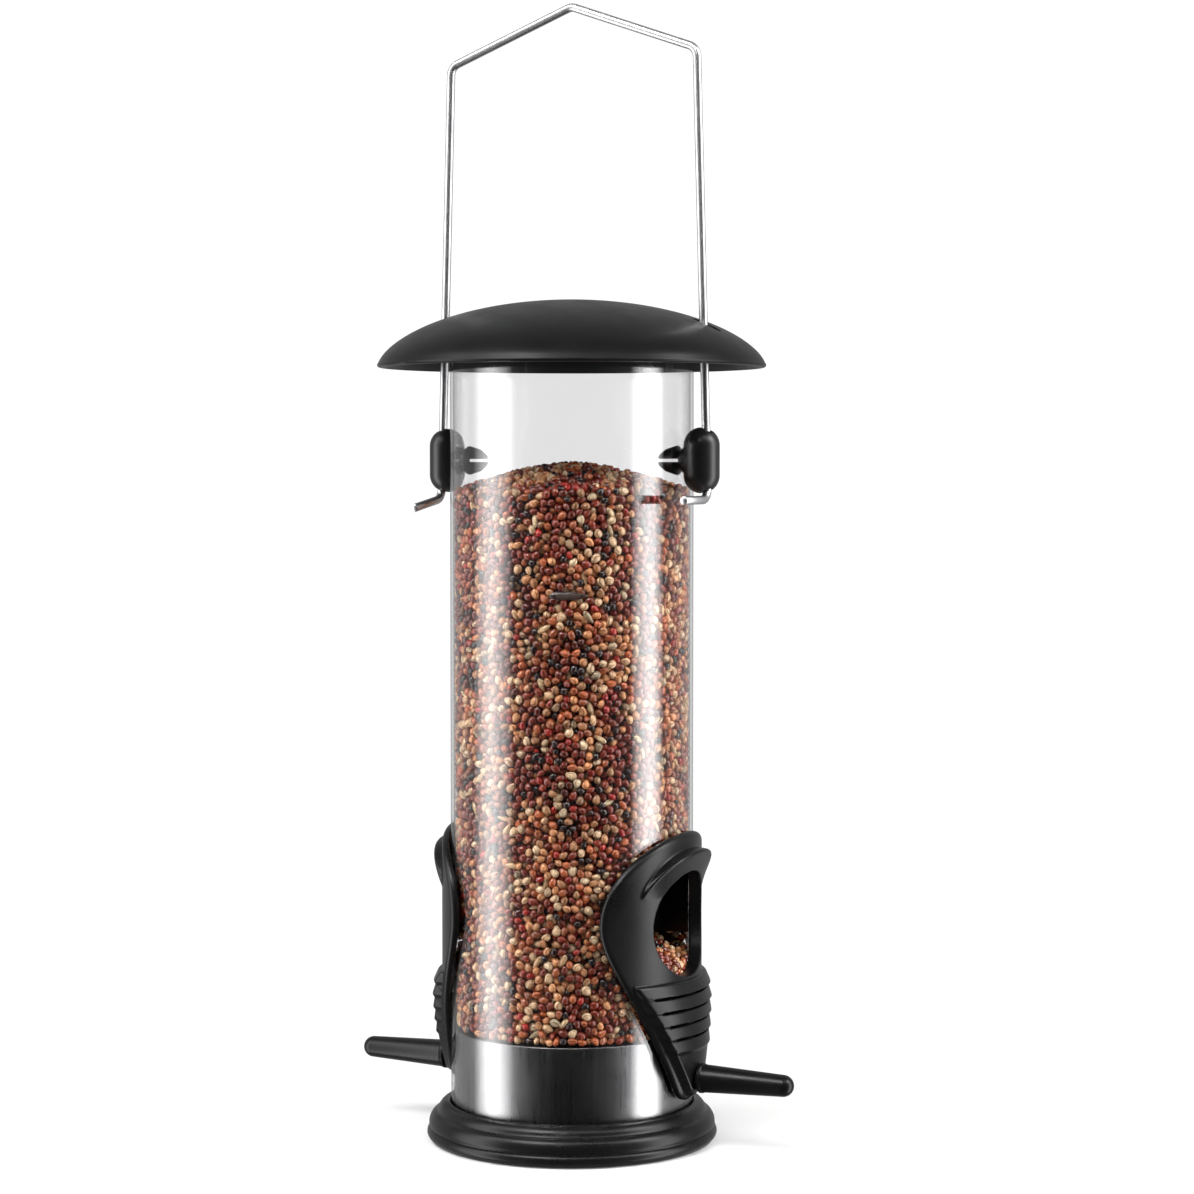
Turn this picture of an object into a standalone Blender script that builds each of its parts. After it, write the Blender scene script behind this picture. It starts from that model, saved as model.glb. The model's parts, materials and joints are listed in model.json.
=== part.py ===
"""Hanging seed feeder for small birds.

A clear tube of seed stands in a flared foot under a domed lid. It has a feeding port and a
perch on each side, and it hangs by a bent wire whose legs pass through slots in the lid and
through two knobs snapped into the tube. Metres, +Z up, ports and knobs along X. The origin is
the hang point, on the inside of the bend at the top of the wire.
"""

import math

import bmesh
import bpy
from mathutils import Matrix, Vector

MM = 0.001
GAP = 0.3 * MM  # left between neighbouring pieces
WELD = 1e-7
SHARP_ANGLE = math.radians(35)
TUBE_STEPS = 60  # facets round the tube and what fits inside it
FOOT_STEPS = 48
AXIS_Z = Vector((0, 0, 1))

# Every height is above the underside of the foot.
OVERALL_HEIGHT = 296 * MM

WIRE_RADIUS = 1.1 * MM
WIRE_BEND = 3.2 * MM  # radius of the centre line at each bend
SHOULDER_HEIGHT = 282.5 * MM
SHOULDER_X = 35.4 * MM
SHOULDER_DROPS = {1: 0.0, -1: 1.0 * MM}  # of each shoulder below its height, by side
FOOT_X = 38.6 * MM
FOOT_HEIGHT = 167.6 * MM
FOOT_LENGTH = 15.2 * MM
FOOT_DROOPS = {1: 0.0, -1: 2.4 * MM}  # each foot's tip below its bend, by side

TUBE_RADIUS = 31.75 * MM
TUBE_BORE = TUBE_RADIUS - 0.8 * MM
TUBE_FROM = 3.6 * MM
TUBE_TO = 209.5 * MM

LID_RADIUS = 50.6 * MM
LID_RIM_HEIGHT = 201.8 * MM
LID_RISE = 17.6 * MM
LID_WALL = 1.6 * MM
LID_ROUNDNESS = 0.6  # exponent of the dome's profile: 0.5 is an ellipse
LID_LIP = 0.9 * MM
SPIGOT_RADIUS = 29.7 * MM  # of the ring under the lid that centres it in the tube
SPIGOT_WALL = 1.4 * MM
SPIGOT_DEPTH = 5.0 * MM
SLOT_FROM = 34.1 * MM
SLOT_TO = 42.2 * MM
SLOT_HALF_WIDTH = 1.6 * MM
SEAT_HALF_WIDTH = 3.0 * MM
SEAT_LAP = Vector((2.0, 0.5)) * MM  # how far a seat reaches inside the tube's bore and past its outside

KNOB_HEIGHT = 177.7 * MM  # of the axis of both snap pins, which the feeder swings on
KNOB_X = 36.9 * MM
KNOB_RADIUS = 4.65 * MM
KNOB_LENGTH = 17.0 * MM
KNOB_BORE = 1.7 * MM
PIN_RADIUS = 2.4 * MM
PIN_COLLAR_RADIUS = 3.4 * MM
PIN_TIP_X = 25.2 * MM
BARB_RADIUS = 3.8 * MM
PIN_SPLIT = 0.75 * MM

PORT_THICKNESS = 2.0 * MM
PORT_FRONT = GAP + PORT_THICKNESS  # outside the tube's surface
PORT_WRAP_RADIUS = 32.4 * MM  # a width on the flat plate is an arc at this radius
PORT_WIDEST = 29.3 * MM  # half the width
PORT_WIDEST_HEIGHT = 60 * MM
PORT_TOP = 82.2 * MM
PORT_TAIL_RADIUS = 7.4 * MM
PORT_TAIL_HEIGHT = 20.0 * MM
PORT_TAIL_LEAN = 31  # degrees that the tail's sides lean outwards where they leave its round end
PORT_FLANK_HANDLES = (Vector((15.7, 27.2)) * MM, 8 * MM)  # of the curve from tail to widest point
PORT_FILLET = 0.9 * MM
OPENING_HEIGHT = 58.5 * MM
OPENING_HALF = Vector((14.9, 13.6)) * MM
HOOD_RADIUS = 19.4 * MM
HOOD_STRETCH = 1.09  # how much wider the hood is than it is high
HOOD_PROUD = 6.15 * MM
HOOD_ENDS = 24.0  # degrees above the horizontal, about the opening's centre
HOOD_FULLNESS = 0.7  # exponent of how the hood's ridge rises from its ends
BULGE_TOP = 44.4 * MM  # the tail stands further out below this ledge
BULGE_FOOT_INSET = 0.6 * MM  # from the plate's edge to where the bulge springs from it
BULGE_FLANK = 2.6 * MM  # width of each sloping flank
BULGE_CROWN = 0.5 * MM  # how much further out the face is along its middle
BULGE_LEDGE = 3.2 * MM  # how far out its face is at the ledge
BULGE_FACE = 4.3 * MM
BULGE_FULL = 37.0 * MM  # the face is full from this height down
SLIT_COUNT = 4
SLIT_FIRST_HEIGHT = 41.0 * MM
SLIT_PITCH = 3.7 * MM
SLIT_ROOM = 0.35 * MM  # half its height
SLIT_INSET = 2.4 * MM  # from the end of a slit to the edge of the face
LOUVRE_LEAN = 0.55 * MM  # how far each louvre's lower edge stands out
LOUVRE_EDGE = 0.42 * MM  # from that edge to the middle of the slit under it
STRIP_WIDTH = 3.8 * MM  # flat facets of the wrapped port

PERCH_HEIGHT = 18.6 * MM
PERCH_TIP_X = 62.6 * MM
PERCH_ROOT_RADIUS = 3.6 * MM
PERCH_TIP_RADIUS = 2.8 * MM
PERCH_COLLAR = Vector((0.25, 1.2)) * MM  # how far the collar stands out, and its thickness
PERCH_SPIGOT_RADIUS = 2.3 * MM
PERCH_SPIGOT_END = 3.0 * MM  # past the inside of the steel band

SCOOP_REACH = 17.0 * MM  # the scoop's inner wall, from the tube's axis
SCOOP_HALF_WIDTH = 15.6 * MM
SCOOP_WALL = 1.2 * MM
SCOOP_FROM = 53.5 * MM
SCOOP_TO = 75.0 * MM
SCOOP_SLOPE = 6.0 * MM  # fall of its roof

BAND_TOP = 29.2 * MM
BAND_WALL = 0.6 * MM
FLOOR_THICKNESS = 1.7 * MM
FLOOR_WALL = 1.4 * MM
FLOOR_SKIRT = 4.5 * MM

SEED_CREST = 177 * MM
SEED_EDGE = 170 * MM
SEED_LIP = 46.5 * MM  # height of the seed at the port openings
SEED_MOUND = 1.6  # exponent of the mound's profile

BASE_RADIUS = 38.1 * MM
BASE_TOP = 10.0 * MM
BASE_SEAT = TUBE_FROM - GAP
BASE_LIP = 0.45 * MM  # wall at the top of the socket
BASE_WAIST = Vector((37.6, 3.2)) * MM  # radius and height of the groove over the bead
BASE_BEAD = Vector((1.7, 1.6)) * MM  # half its depth and half its height
BASE_FLARE = (Vector((1.9, -0.3)) * MM, Vector((0.0, 2.4)) * MM)  # handles of the curve from lip to waist
BASE_PLUG_WALL = 1.5 * MM
BASE_RECESS = 1.6 * MM  # under the foot, inside the ring it stands on
BASE_RING = (36.9 * MM, 33.0 * MM)


def clear_scene():
    for obj in list(bpy.data.objects):
        bpy.data.objects.remove(obj)


def make_material(name, colour, roughness, metallic=0.0, alpha=1.0):
    material = bpy.data.materials.new(name)
    material.use_nodes = True
    shader = material.node_tree.nodes["Principled BSDF"]
    shader.inputs["Base Color"].default_value = (*colour, 1.0)
    shader.inputs["Roughness"].default_value = roughness
    shader.inputs["Metallic"].default_value = metallic
    shader.inputs["Alpha"].default_value = alpha
    return material


def make_body(name, height):
    """An empty on the joint axis of the pieces that move together."""
    empty = bpy.data.objects.new(name, None)
    empty.location.z = height - (OVERALL_HEIGHT - 2 * WIRE_RADIUS)
    bpy.context.scene.collection.objects.link(empty)
    return empty


def make_object(name, data, material, body, height, turn=0.0):
    """An object whose data holds heights above the foot, under the body at the given height."""
    obj = bpy.data.objects.new(name, data)
    data.materials.append(material)
    obj.parent = body
    obj.location.z = -height
    obj.rotation_euler.z = turn
    bpy.context.scene.collection.objects.link(obj)
    return obj


def to_mesh(bm, name):
    bmesh.ops.recalc_face_normals(bm, faces=bm.faces)
    mesh = bpy.data.meshes.new(name)
    bm.to_mesh(mesh)
    bm.free()
    mesh.shade_smooth()
    mesh.set_sharp_from_angle(angle=SHARP_ANGLE)
    return mesh


def combine(target, operation, bm, name):
    """Adds bm to the target, or cuts it away, with a Boolean in the target's own frame."""
    helper = bpy.data.objects.new(name, to_mesh(bm, name))
    helper.parent = target
    helper.hide_render = True
    helper.display_type = "WIRE"
    bpy.context.scene.collection.objects.link(helper)
    modifier = target.modifiers.new(name, "BOOLEAN")
    modifier.operation = operation
    modifier.object = helper
    return helper


def arc(centre, radii, start, end, steps):
    """Points of an ellipse from one angle to another, in degrees."""
    points = []
    for i in range(steps + 1):
        angle = math.radians(start + (end - start) * i / steps)
        points.append((centre[0] + radii[0] * math.cos(angle), centre[1] + radii[1] * math.sin(angle)))
    return points


def bezier(start, handle_a, handle_b, end, steps):
    """Points between the ends of a cubic curve, without the ends themselves."""
    points = []
    for i in range(1, steps):
        t = i / steps
        weights = ((1 - t) ** 3, 3 * t * (1 - t) ** 2, 3 * t * t * (1 - t), t**3)
        corners = (start, handle_a, handle_b, end)
        points.append(tuple(sum(w * c[k] for w, c in zip(weights, corners)) for k in (0, 1)))
    return points


def lathe(profile, steps):
    """A solid turned about Z from (radius, height) points. An outline that starts off the axis closes on
    itself, and any other starts and ends on the axis."""
    bm = bmesh.new()
    verts = [bm.verts.new((radius, 0, height)) for radius, height in profile]
    pairs = list(zip(verts, verts[1:]))
    if profile[0][0] > 0:
        pairs.append((verts[-1], verts[0]))
    edges = [bm.edges.new(pair) for pair in pairs]
    bmesh.ops.spin(
        bm, geom=verts + edges, cent=(0, 0, 0), axis=AXIS_Z, angle=math.tau, steps=steps, use_merge=True
    )
    bmesh.ops.remove_doubles(bm, verts=bm.verts, dist=WELD)
    return bm


def turned_along_x(profile, steps, height):
    """As lathe, about the line along X at the height, with (radius, x) points."""
    bm = lathe(profile, steps)
    place = Matrix.Translation((0, 0, height)) @ Matrix.Rotation(math.pi / 2, 4, "Y")
    bmesh.ops.transform(bm, matrix=place, verts=bm.verts)
    return bm


def prism(points, sweep):
    """A flat outline of 3D points extruded by a vector."""
    bm = bmesh.new()
    face = bm.faces.new([bm.verts.new(point) for point in points])
    made = bmesh.ops.extrude_face_region(bm, geom=[face])
    moved = [item for item in made["geom"] if isinstance(item, bmesh.types.BMVert)]
    bmesh.ops.translate(bm, verts=moved, vec=sweep)
    return bm


def box(low, high):
    corners = [(low[0], low[1]), (high[0], low[1]), (high[0], high[1]), (low[0], high[1])]
    return prism([(x, y, low[2]) for x, y in corners], (0, 0, high[2] - low[2]))


def loft(rings):
    """A solid through rings of as many points each, closed by a face at each end."""
    bm = bmesh.new()
    loops = [[bm.verts.new(point) for point in ring] for ring in rings]
    for near, far in zip(loops, loops[1:]):
        for i in range(len(near)):
            j = (i + 1) % len(near)
            bm.faces.new((near[i], near[j], far[j], far[i]))
    bm.faces.new(loops[0])
    bm.faces.new(loops[-1])
    return bm


def elliptic_rod(half_y, half_z, height, reach, sides=32):
    """A rod along X, through both sides of the tube."""
    outline = arc((0, height), (half_y, half_z), 0, 360 - 360 / sides, sides - 1)
    return prism([(-reach, y, z) for y, z in outline], (2 * reach, 0, 0))


def rounded_path(corners, radius, steps=6):
    """The corners of a polyline with each inner one rounded to the radius."""
    path = [corners[0]]
    for before, corner, after in zip(corners, corners[1:], corners[2:]):
        back = (before - corner).normalized()
        ahead = (after - corner).normalized()
        half = back.angle(ahead) / 2
        centre = corner + (back + ahead).normalized() * radius / math.sin(half)
        start = corner + back * radius / math.tan(half) - centre
        end = corner + ahead * radius / math.tan(half) - centre
        start.normalize()
        end.normalize()
        path.extend(centre + start.slerp(end, i / steps) * radius for i in range(steps + 1))
    path.append(corners[-1])
    return path


def make_hanger_wire(material, body, height):
    """One wire: foot, leg, shoulder, apex, shoulder, leg, foot. Both feet point to -Y."""
    corners = []
    for side in (-1, 1):
        tip = Vector((side * FOOT_X, -FOOT_LENGTH, FOOT_HEIGHT - FOOT_DROOPS[side]))
        heel = Vector((side * FOOT_X, 0, FOOT_HEIGHT))
        shoulder = Vector((side * SHOULDER_X, 0, SHOULDER_HEIGHT - SHOULDER_DROPS[side]))
        corners.append([tip, heel, shoulder])
    apex = Vector((0, 0, OVERALL_HEIGHT - WIRE_RADIUS + wire_apex_cut()))
    path = rounded_path([*corners[0], apex, *reversed(corners[1])], WIRE_BEND)
    curve = bpy.data.curves.new("hanger_wire", "CURVE")
    curve.dimensions = "3D"
    curve.bevel_depth = WIRE_RADIUS
    curve.bevel_resolution = 2
    curve.use_fill_caps = True
    spline = curve.splines.new("POLY")
    spline.points.add(len(path) - 1)
    for point, place in zip(spline.points, path):
        point.co = (*place, 1)
    return make_object("hanger_wire", curve, material, body, height)


def wire_apex_cut():
    """How far the rounded bend at the apex lies under the corner of its two straight sides."""
    rise = OVERALL_HEIGHT - WIRE_RADIUS - SHOULDER_HEIGHT
    slope = math.atan2(rise, SHOULDER_X)
    return WIRE_BEND * (1 / math.cos(slope) - 1)


def make_knob(name, material, body, height, side):
    """A capsule bored for the wire, with a split snap pin that turns in the tube's wall."""
    half = KNOB_LENGTH / 2 - KNOB_RADIUS
    radii = (KNOB_RADIUS, KNOB_RADIUS)
    profile = arc((0, KNOB_HEIGHT + half), radii, 90, 0, 5) + arc((0, KNOB_HEIGHT - half), radii, 0, -90, 5)
    profile[0] = (0.0, profile[0][1])
    profile[-1] = (0.0, profile[-1][1])
    capsule = lathe(profile, 20)
    bmesh.ops.translate(capsule, verts=capsule.verts, vec=(KNOB_X, 0, 0))
    knob = make_object(name, to_mesh(capsule, name), material, body, height, 0 if side > 0 else math.pi)

    collar_from = TUBE_RADIUS + GAP
    barb_from = TUBE_BORE - 2 * GAP
    pin = turned_along_x(
        [
            (0, PIN_TIP_X),
            (0.45 * BARB_RADIUS, PIN_TIP_X),
            (0.8 * BARB_RADIUS, PIN_TIP_X + 2 * MM),
            (BARB_RADIUS, barb_from - 0.4 * MM),
            (BARB_RADIUS, barb_from),
            (PIN_RADIUS, barb_from),
            (PIN_RADIUS, collar_from),
            (PIN_COLLAR_RADIUS, collar_from),
            (PIN_COLLAR_RADIUS, KNOB_X - 2 * MM),
            (0, KNOB_X - 2 * MM),
        ],
        16,
        KNOB_HEIGHT,
    )
    combine(knob, "UNION", pin, f"{name}_pin")
    split = box(
        (PIN_TIP_X - MM, -2 * BARB_RADIUS, KNOB_HEIGHT - PIN_SPLIT / 2),
        (TUBE_RADIUS - 0.5 * MM, 2 * BARB_RADIUS, KNOB_HEIGHT + PIN_SPLIT / 2),
    )
    combine(knob, "DIFFERENCE", split, f"{name}_split")
    wire_x = FOOT_X - (FOOT_X - SHOULDER_X) * (KNOB_HEIGHT - FOOT_HEIGHT) / (SHOULDER_HEIGHT - FOOT_HEIGHT)
    over, under = KNOB_HEIGHT + KNOB_LENGTH, KNOB_HEIGHT - KNOB_LENGTH
    bore = lathe([(0, over), (KNOB_BORE, over), (KNOB_BORE, under), (0, under)], 16)
    bmesh.ops.translate(bore, verts=bore.verts, vec=(wire_x, 0, 0))
    combine(knob, "DIFFERENCE", bore, f"{name}_bore")
    return knob


def dome_height(radius):
    """Height of the dome's outer surface above the lid's rim."""
    return LID_RISE * max(0.0, 1 - (radius / LID_RADIUS) ** 2) ** LID_ROUNDNESS


def make_lid(material, body, height):
    """A domed shell with a rolled rim, a ring that centres it in the tube and two pads that sit on it."""
    ring_foot = TUBE_TO - SPIGOT_DEPTH + LID_WALL
    outer_radii = [LID_RADIUS * math.sin(math.radians(a)) for a in (0, 12, 24, 36, 47, 57, 66, 74, 80, 85)]
    outer = [(r, LID_RIM_HEIGHT + dome_height(r)) for r in outer_radii]
    rim = [
        (LID_RADIUS, LID_RIM_HEIGHT + LID_LIP),
        (LID_RADIUS, LID_RIM_HEIGHT + 0.3 * MM),
        (LID_RADIUS - 0.3 * MM, LID_RIM_HEIGHT),
        (LID_RADIUS - LID_WALL, LID_RIM_HEIGHT),
    ]

    def inner(radius):
        above = radius * LID_RADIUS / (LID_RADIUS - LID_WALL)
        return (radius, LID_RIM_HEIGHT + dome_height(above) - LID_WALL)

    under_radii = [LID_RADIUS * f for f in (0.93, 0.85, 0.76, 0.66)]
    ring = [
        inner(SPIGOT_RADIUS),
        (SPIGOT_RADIUS, ring_foot),
        (SPIGOT_RADIUS - SPIGOT_WALL, ring_foot),
        inner(SPIGOT_RADIUS - SPIGOT_WALL),
    ]
    ceiling = [inner(LID_RADIUS * f) for f in (0.42, 0.28, 0.14, 0)]
    profile = outer + rim + [inner(r) for r in under_radii] + ring + ceiling
    lid = make_object("lid_dome", to_mesh(lathe(profile, FOOT_STEPS), "lid_dome"), material, body, height)
    for side in (-1, 1):
        near = side * (TUBE_BORE - SEAT_LAP[0])
        far = side * (TUBE_RADIUS + SEAT_LAP[1])
        seat_top = LID_RIM_HEIGHT + dome_height(TUBE_RADIUS + SEAT_LAP[1]) - LID_WALL / 2
        low, high = min(near, far), max(near, far)
        pad = box((low, -SEAT_HALF_WIDTH, TUBE_TO + GAP), (high, SEAT_HALF_WIDTH, seat_top))
        combine(lid, "UNION", pad, f"lid_pad_{side}")
        low, high = min(side * SLOT_FROM, side * SLOT_TO), max(side * SLOT_FROM, side * SLOT_TO)
        slot = box((low, -SLOT_HALF_WIDTH, LID_RIM_HEIGHT), (high, SLOT_HALF_WIDTH, TUBE_TO + LID_RISE))
        combine(lid, "DIFFERENCE", slot, f"lid_slot_{side}")
    return lid


def make_tube(material, body, height):
    """Clear tube with holes for the ports' openings, the knobs' pins and the perches."""
    profile = [(TUBE_RADIUS, TUBE_TO), (TUBE_RADIUS, TUBE_FROM), (TUBE_BORE, TUBE_FROM), (TUBE_BORE, TUBE_TO)]
    tube = make_object("tube", to_mesh(lathe(profile, TUBE_STEPS), "tube"), material, body, height)
    reach = 1.2 * TUBE_RADIUS
    opening = elliptic_rod(OPENING_HALF.x, OPENING_HALF.y + 2 * GAP, OPENING_HEIGHT, reach)
    combine(tube, "DIFFERENCE", opening, "tube_openings")
    pin_hole = PIN_RADIUS + GAP
    combine(tube, "DIFFERENCE", elliptic_rod(pin_hole, pin_hole, KNOB_HEIGHT, reach, 24), "tube_pin_holes")
    combine(tube, "DIFFERENCE", perch_holes(), "tube_perch_holes")
    return tube


def perch_holes():
    radius = PERCH_SPIGOT_RADIUS + GAP
    return elliptic_rod(radius, radius, PERCH_HEIGHT, 1.5 * TUBE_RADIUS, 20)


def teardrop():
    """The port's outline on the flat, as (across, height): half an ellipse over a tapering tail."""
    top = arc((0, PORT_WIDEST_HEIGHT), (PORT_WIDEST, PORT_TOP - PORT_WIDEST_HEIGHT), 0, 180, 20)
    lean = math.radians(PORT_TAIL_LEAN)
    tail_start = (PORT_TAIL_RADIUS * math.cos(lean), PORT_TAIL_HEIGHT - PORT_TAIL_RADIUS * math.sin(lean))
    lower, upper = PORT_FLANK_HANDLES
    handle_a = (tail_start[0] + lower.x, tail_start[1] + lower.y)
    handle_b = (PORT_WIDEST, PORT_WIDEST_HEIGHT - upper)
    side = [tail_start, *bezier(tail_start, handle_a, handle_b, (PORT_WIDEST, PORT_WIDEST_HEIGHT), 7)]
    radii = (PORT_TAIL_RADIUS, PORT_TAIL_RADIUS)
    tail = arc((0, PORT_TAIL_HEIGHT), radii, 180 + PORT_TAIL_LEAN, 360 - PORT_TAIL_LEAN, 6)[1:-1]
    return top + [(-s, z) for s, z in reversed(side)] + tail + side


def half_width_at(height):
    """Half the port's width at a height on its tail, read off the outline."""
    side = sorted((z, s) for s, z in teardrop() if s > 0 and z < PORT_WIDEST_HEIGHT)
    for (low, near), (high, far) in zip(side, side[1:]):
        if low <= height <= high:
            return near + (far - near) * (height - low) / (high - low)
    return 0.0


def port_plate():
    """The flat plate, with its front edge rounded. X is the distance outside the tube's surface."""
    plate = prism([(GAP, s, z) for s, z in teardrop()], (PORT_THICKNESS, 0, 0))
    front = [e for e in plate.edges if all(v.co.x > GAP + PORT_THICKNESS / 2 for v in e.verts)]
    bmesh.ops.bevel(plate, geom=front, offset=PORT_FILLET, segments=2, profile=0.5, affect="EDGES")
    return plate


def port_hood():
    """A brow round the top of the opening: its ridge stands out most at the crown."""
    rings = []
    steps = 14
    sunk = PORT_FRONT - 0.4 * MM
    mouth = OPENING_HALF.y - 0.5 * MM
    for i in range(steps + 1):
        angle = math.radians(HOOD_ENDS + (180 - 2 * HOOD_ENDS) * i / steps)
        crown = max(0.0, math.sin(math.pi * i / steps)) ** HOOD_FULLNESS
        proud = sunk + (HOOD_PROUD - sunk) * crown
        section = [
            (mouth, 1.0 * MM),
            (mouth, sunk + 0.5 * MM * crown),
            (HOOD_RADIUS - 1.0 * MM, proud - 0.1 * MM),
            (HOOD_RADIUS - 0.5 * MM, proud),
            (HOOD_RADIUS, proud - 0.3 * MM),
            (HOOD_RADIUS + 0.5 * MM, 1.0 * MM),
        ]
        place = (math.cos(angle), math.sin(angle))
        across = HOOD_STRETCH * place[0]
        ring = [(out, reach * across, OPENING_HEIGHT + reach * place[1]) for reach, out in section]
        rings.append(ring)
    return loft(rings)


def bulge_ring(height, edge_out):
    """A level section of the tail's raised face: two sloping flanks and a slightly crowned front."""
    foot = half_width_at(height) - BULGE_FOOT_INSET
    face = max(foot - BULGE_FLANK, foot / 10)
    sunk = PORT_THICKNESS / 2
    front = [(edge_out + BULGE_CROWN * (1 - f * f), face * f, height) for f in (-1, -0.6, -0.2, 0.2, 0.6, 1)]
    return [(sunk, foot, height), (sunk, -foot, height), *front]


def bulge_out(height):
    """How far the edges of the raised face stand outside the tube, leaving the louvres out."""
    share = min(1.0, (BULGE_TOP - height) / (BULGE_TOP - BULGE_FULL))
    return BULGE_LEDGE + (BULGE_FACE - BULGE_LEDGE) * math.sin(share * math.pi / 2)


def port_bulge():
    """The raised face, from its round lower end up to the ledge, with a step at the foot of each louvre."""
    low = PORT_TAIL_HEIGHT - PORT_TAIL_RADIUS
    levels = [(low + 0.8 * MM, 1.3 * MM), (low + 2.0 * MM, 3.4 * MM), (low + 3.4 * MM, BULGE_FACE)]
    levels.append((PORT_TAIL_HEIGHT + 2 * MM, BULGE_FACE))
    for i in reversed(range(SLIT_COUNT + 1)):
        middle = SLIT_FIRST_HEIGHT - i * SLIT_PITCH
        levels.append((middle - LOUVRE_EDGE, bulge_out(middle)))
        levels.append((middle + LOUVRE_EDGE, bulge_out(middle) + LOUVRE_LEAN))
    levels.append((BULGE_TOP, BULGE_LEDGE))
    return loft([bulge_ring(height, out) for height, out in levels])


def port_slit(height):
    """The gap under a louvre, through the plate."""
    half = half_width_at(height) - BULGE_FOOT_INSET - BULGE_FLANK - SLIT_INSET
    return box((0, -half, height - SLIT_ROOM), (2 * BULGE_FACE, half, height + SLIT_ROOM))


def wrapped_mesh(flat, name):
    """The flat port bent round the tube, after cutting it into strips narrow enough to bend."""
    bm = bmesh.new()
    graph = bpy.context.evaluated_depsgraph_get()
    bm.from_object(flat, graph)
    reach = int(PORT_WIDEST / STRIP_WIDTH)
    for i in range(-reach, reach + 1):
        everything = bm.verts[:] + bm.edges[:] + bm.faces[:]
        cut_at = (0, i * STRIP_WIDTH, 0)
        bmesh.ops.bisect_plane(bm, geom=everything, dist=WELD, plane_co=cut_at, plane_no=(0, 1, 0))
    for vert in bm.verts:
        angle = vert.co.y / PORT_WRAP_RADIUS
        radius = TUBE_RADIUS + vert.co.x
        vert.co = (radius * math.cos(angle), radius * math.sin(angle), vert.co.z)
    bmesh.ops.triangulate(bm, faces=bm.faces)
    bmesh.ops.remove_doubles(bm, verts=bm.verts, dist=WELD)
    return to_mesh(bm, name)


def make_port_mesh():
    flat = bpy.data.objects.new("port_flat", to_mesh(port_plate(), "port_flat"))
    bpy.context.scene.collection.objects.link(flat)
    helpers = [flat, combine(flat, "UNION", port_hood(), "hood")]
    opening = arc((0, OPENING_HEIGHT), OPENING_HALF, 0, 348, 29)
    hole = prism([(-MM, s, z) for s, z in opening], (4 * HOOD_PROUD, 0, 0))
    helpers.append(combine(flat, "DIFFERENCE", hole, "opening"))
    helpers.append(combine(flat, "UNION", port_bulge(), "bulge"))
    for i in range(SLIT_COUNT):
        slit = port_slit(SLIT_FIRST_HEIGHT - i * SLIT_PITCH)
        helpers.append(combine(flat, "DIFFERENCE", slit, f"slit_{i}"))
    helpers.append(combine(flat, "DIFFERENCE", perch_holes(), "perch_hole"))
    bpy.context.view_layer.update()
    mesh = wrapped_mesh(flat, "port")
    for helper in helpers:
        bpy.data.objects.remove(helper)
    return mesh


def make_perch_mesh():
    """A tapered peg with a collar against the port and a thinner root through the tube's wall."""
    root_x = TUBE_BORE - BAND_WALL - PERCH_SPIGOT_END
    collar_x = TUBE_RADIUS + BULGE_FACE + BULGE_CROWN + GAP
    shaft_x = collar_x + PERCH_COLLAR.y
    tip = arc((0, PERCH_TIP_X - PERCH_TIP_RADIUS), (PERCH_TIP_RADIUS, PERCH_TIP_RADIUS), 0, 90, 6)
    tip[-1] = (0.0, PERCH_TIP_X)
    profile = [
        (0, root_x),
        (PERCH_SPIGOT_RADIUS, root_x),
        (PERCH_SPIGOT_RADIUS, collar_x),
        (PERCH_ROOT_RADIUS + PERCH_COLLAR.x, collar_x),
        (PERCH_ROOT_RADIUS + PERCH_COLLAR.x, shaft_x),
        (PERCH_ROOT_RADIUS, shaft_x),
        *tip,
    ]
    return to_mesh(turned_along_x(profile, 20, PERCH_HEIGHT), "perch")


def scoop_outline(grow, bottom, outside):
    """The scoop's side view as (x, height): an inner wall under a roof that falls inwards."""
    shoulder_x = SCOOP_REACH + SCOOP_SLOPE
    return [
        (SCOOP_REACH - grow, bottom),
        (SCOOP_REACH - grow, SCOOP_TO - SCOOP_SLOPE + grow),
        (shoulder_x - grow, SCOOP_TO + grow),
        (outside, SCOOP_TO + grow),
    ]


def scoop_block(grow, bottom, outside, end):
    """The outline and its end point, extruded to both sides."""
    half = SCOOP_HALF_WIDTH + grow
    points = [*scoop_outline(grow, bottom, outside), (outside, end)]
    return prism([(x, -half, z) for x, z in points], (0, 2 * half, 0))


def make_scoop(name, material, body, height, turn):
    """A hood inside the tube that keeps the seed from running out of the opening."""
    outside = 1.2 * TUBE_RADIUS
    block = scoop_block(0, SCOOP_FROM, outside, SCOOP_FROM)
    scoop = make_object(name, to_mesh(block, name), material, body, height, turn)
    hollow = scoop_block(-SCOOP_WALL, SCOOP_FROM - 5 * MM, 2 * outside, SCOOP_FROM - 5 * MM)
    combine(scoop, "DIFFERENCE", hollow, f"{name}_hollow")
    wall, over, under = TUBE_BORE - GAP, SCOOP_TO + MM, SCOOP_FROM - MM
    room = lathe([(0, over), (wall, over), (wall, under), (0, under)], TUBE_STEPS)
    combine(scoop, "INTERSECT", room, f"{name}_room")
    return scoop


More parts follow.
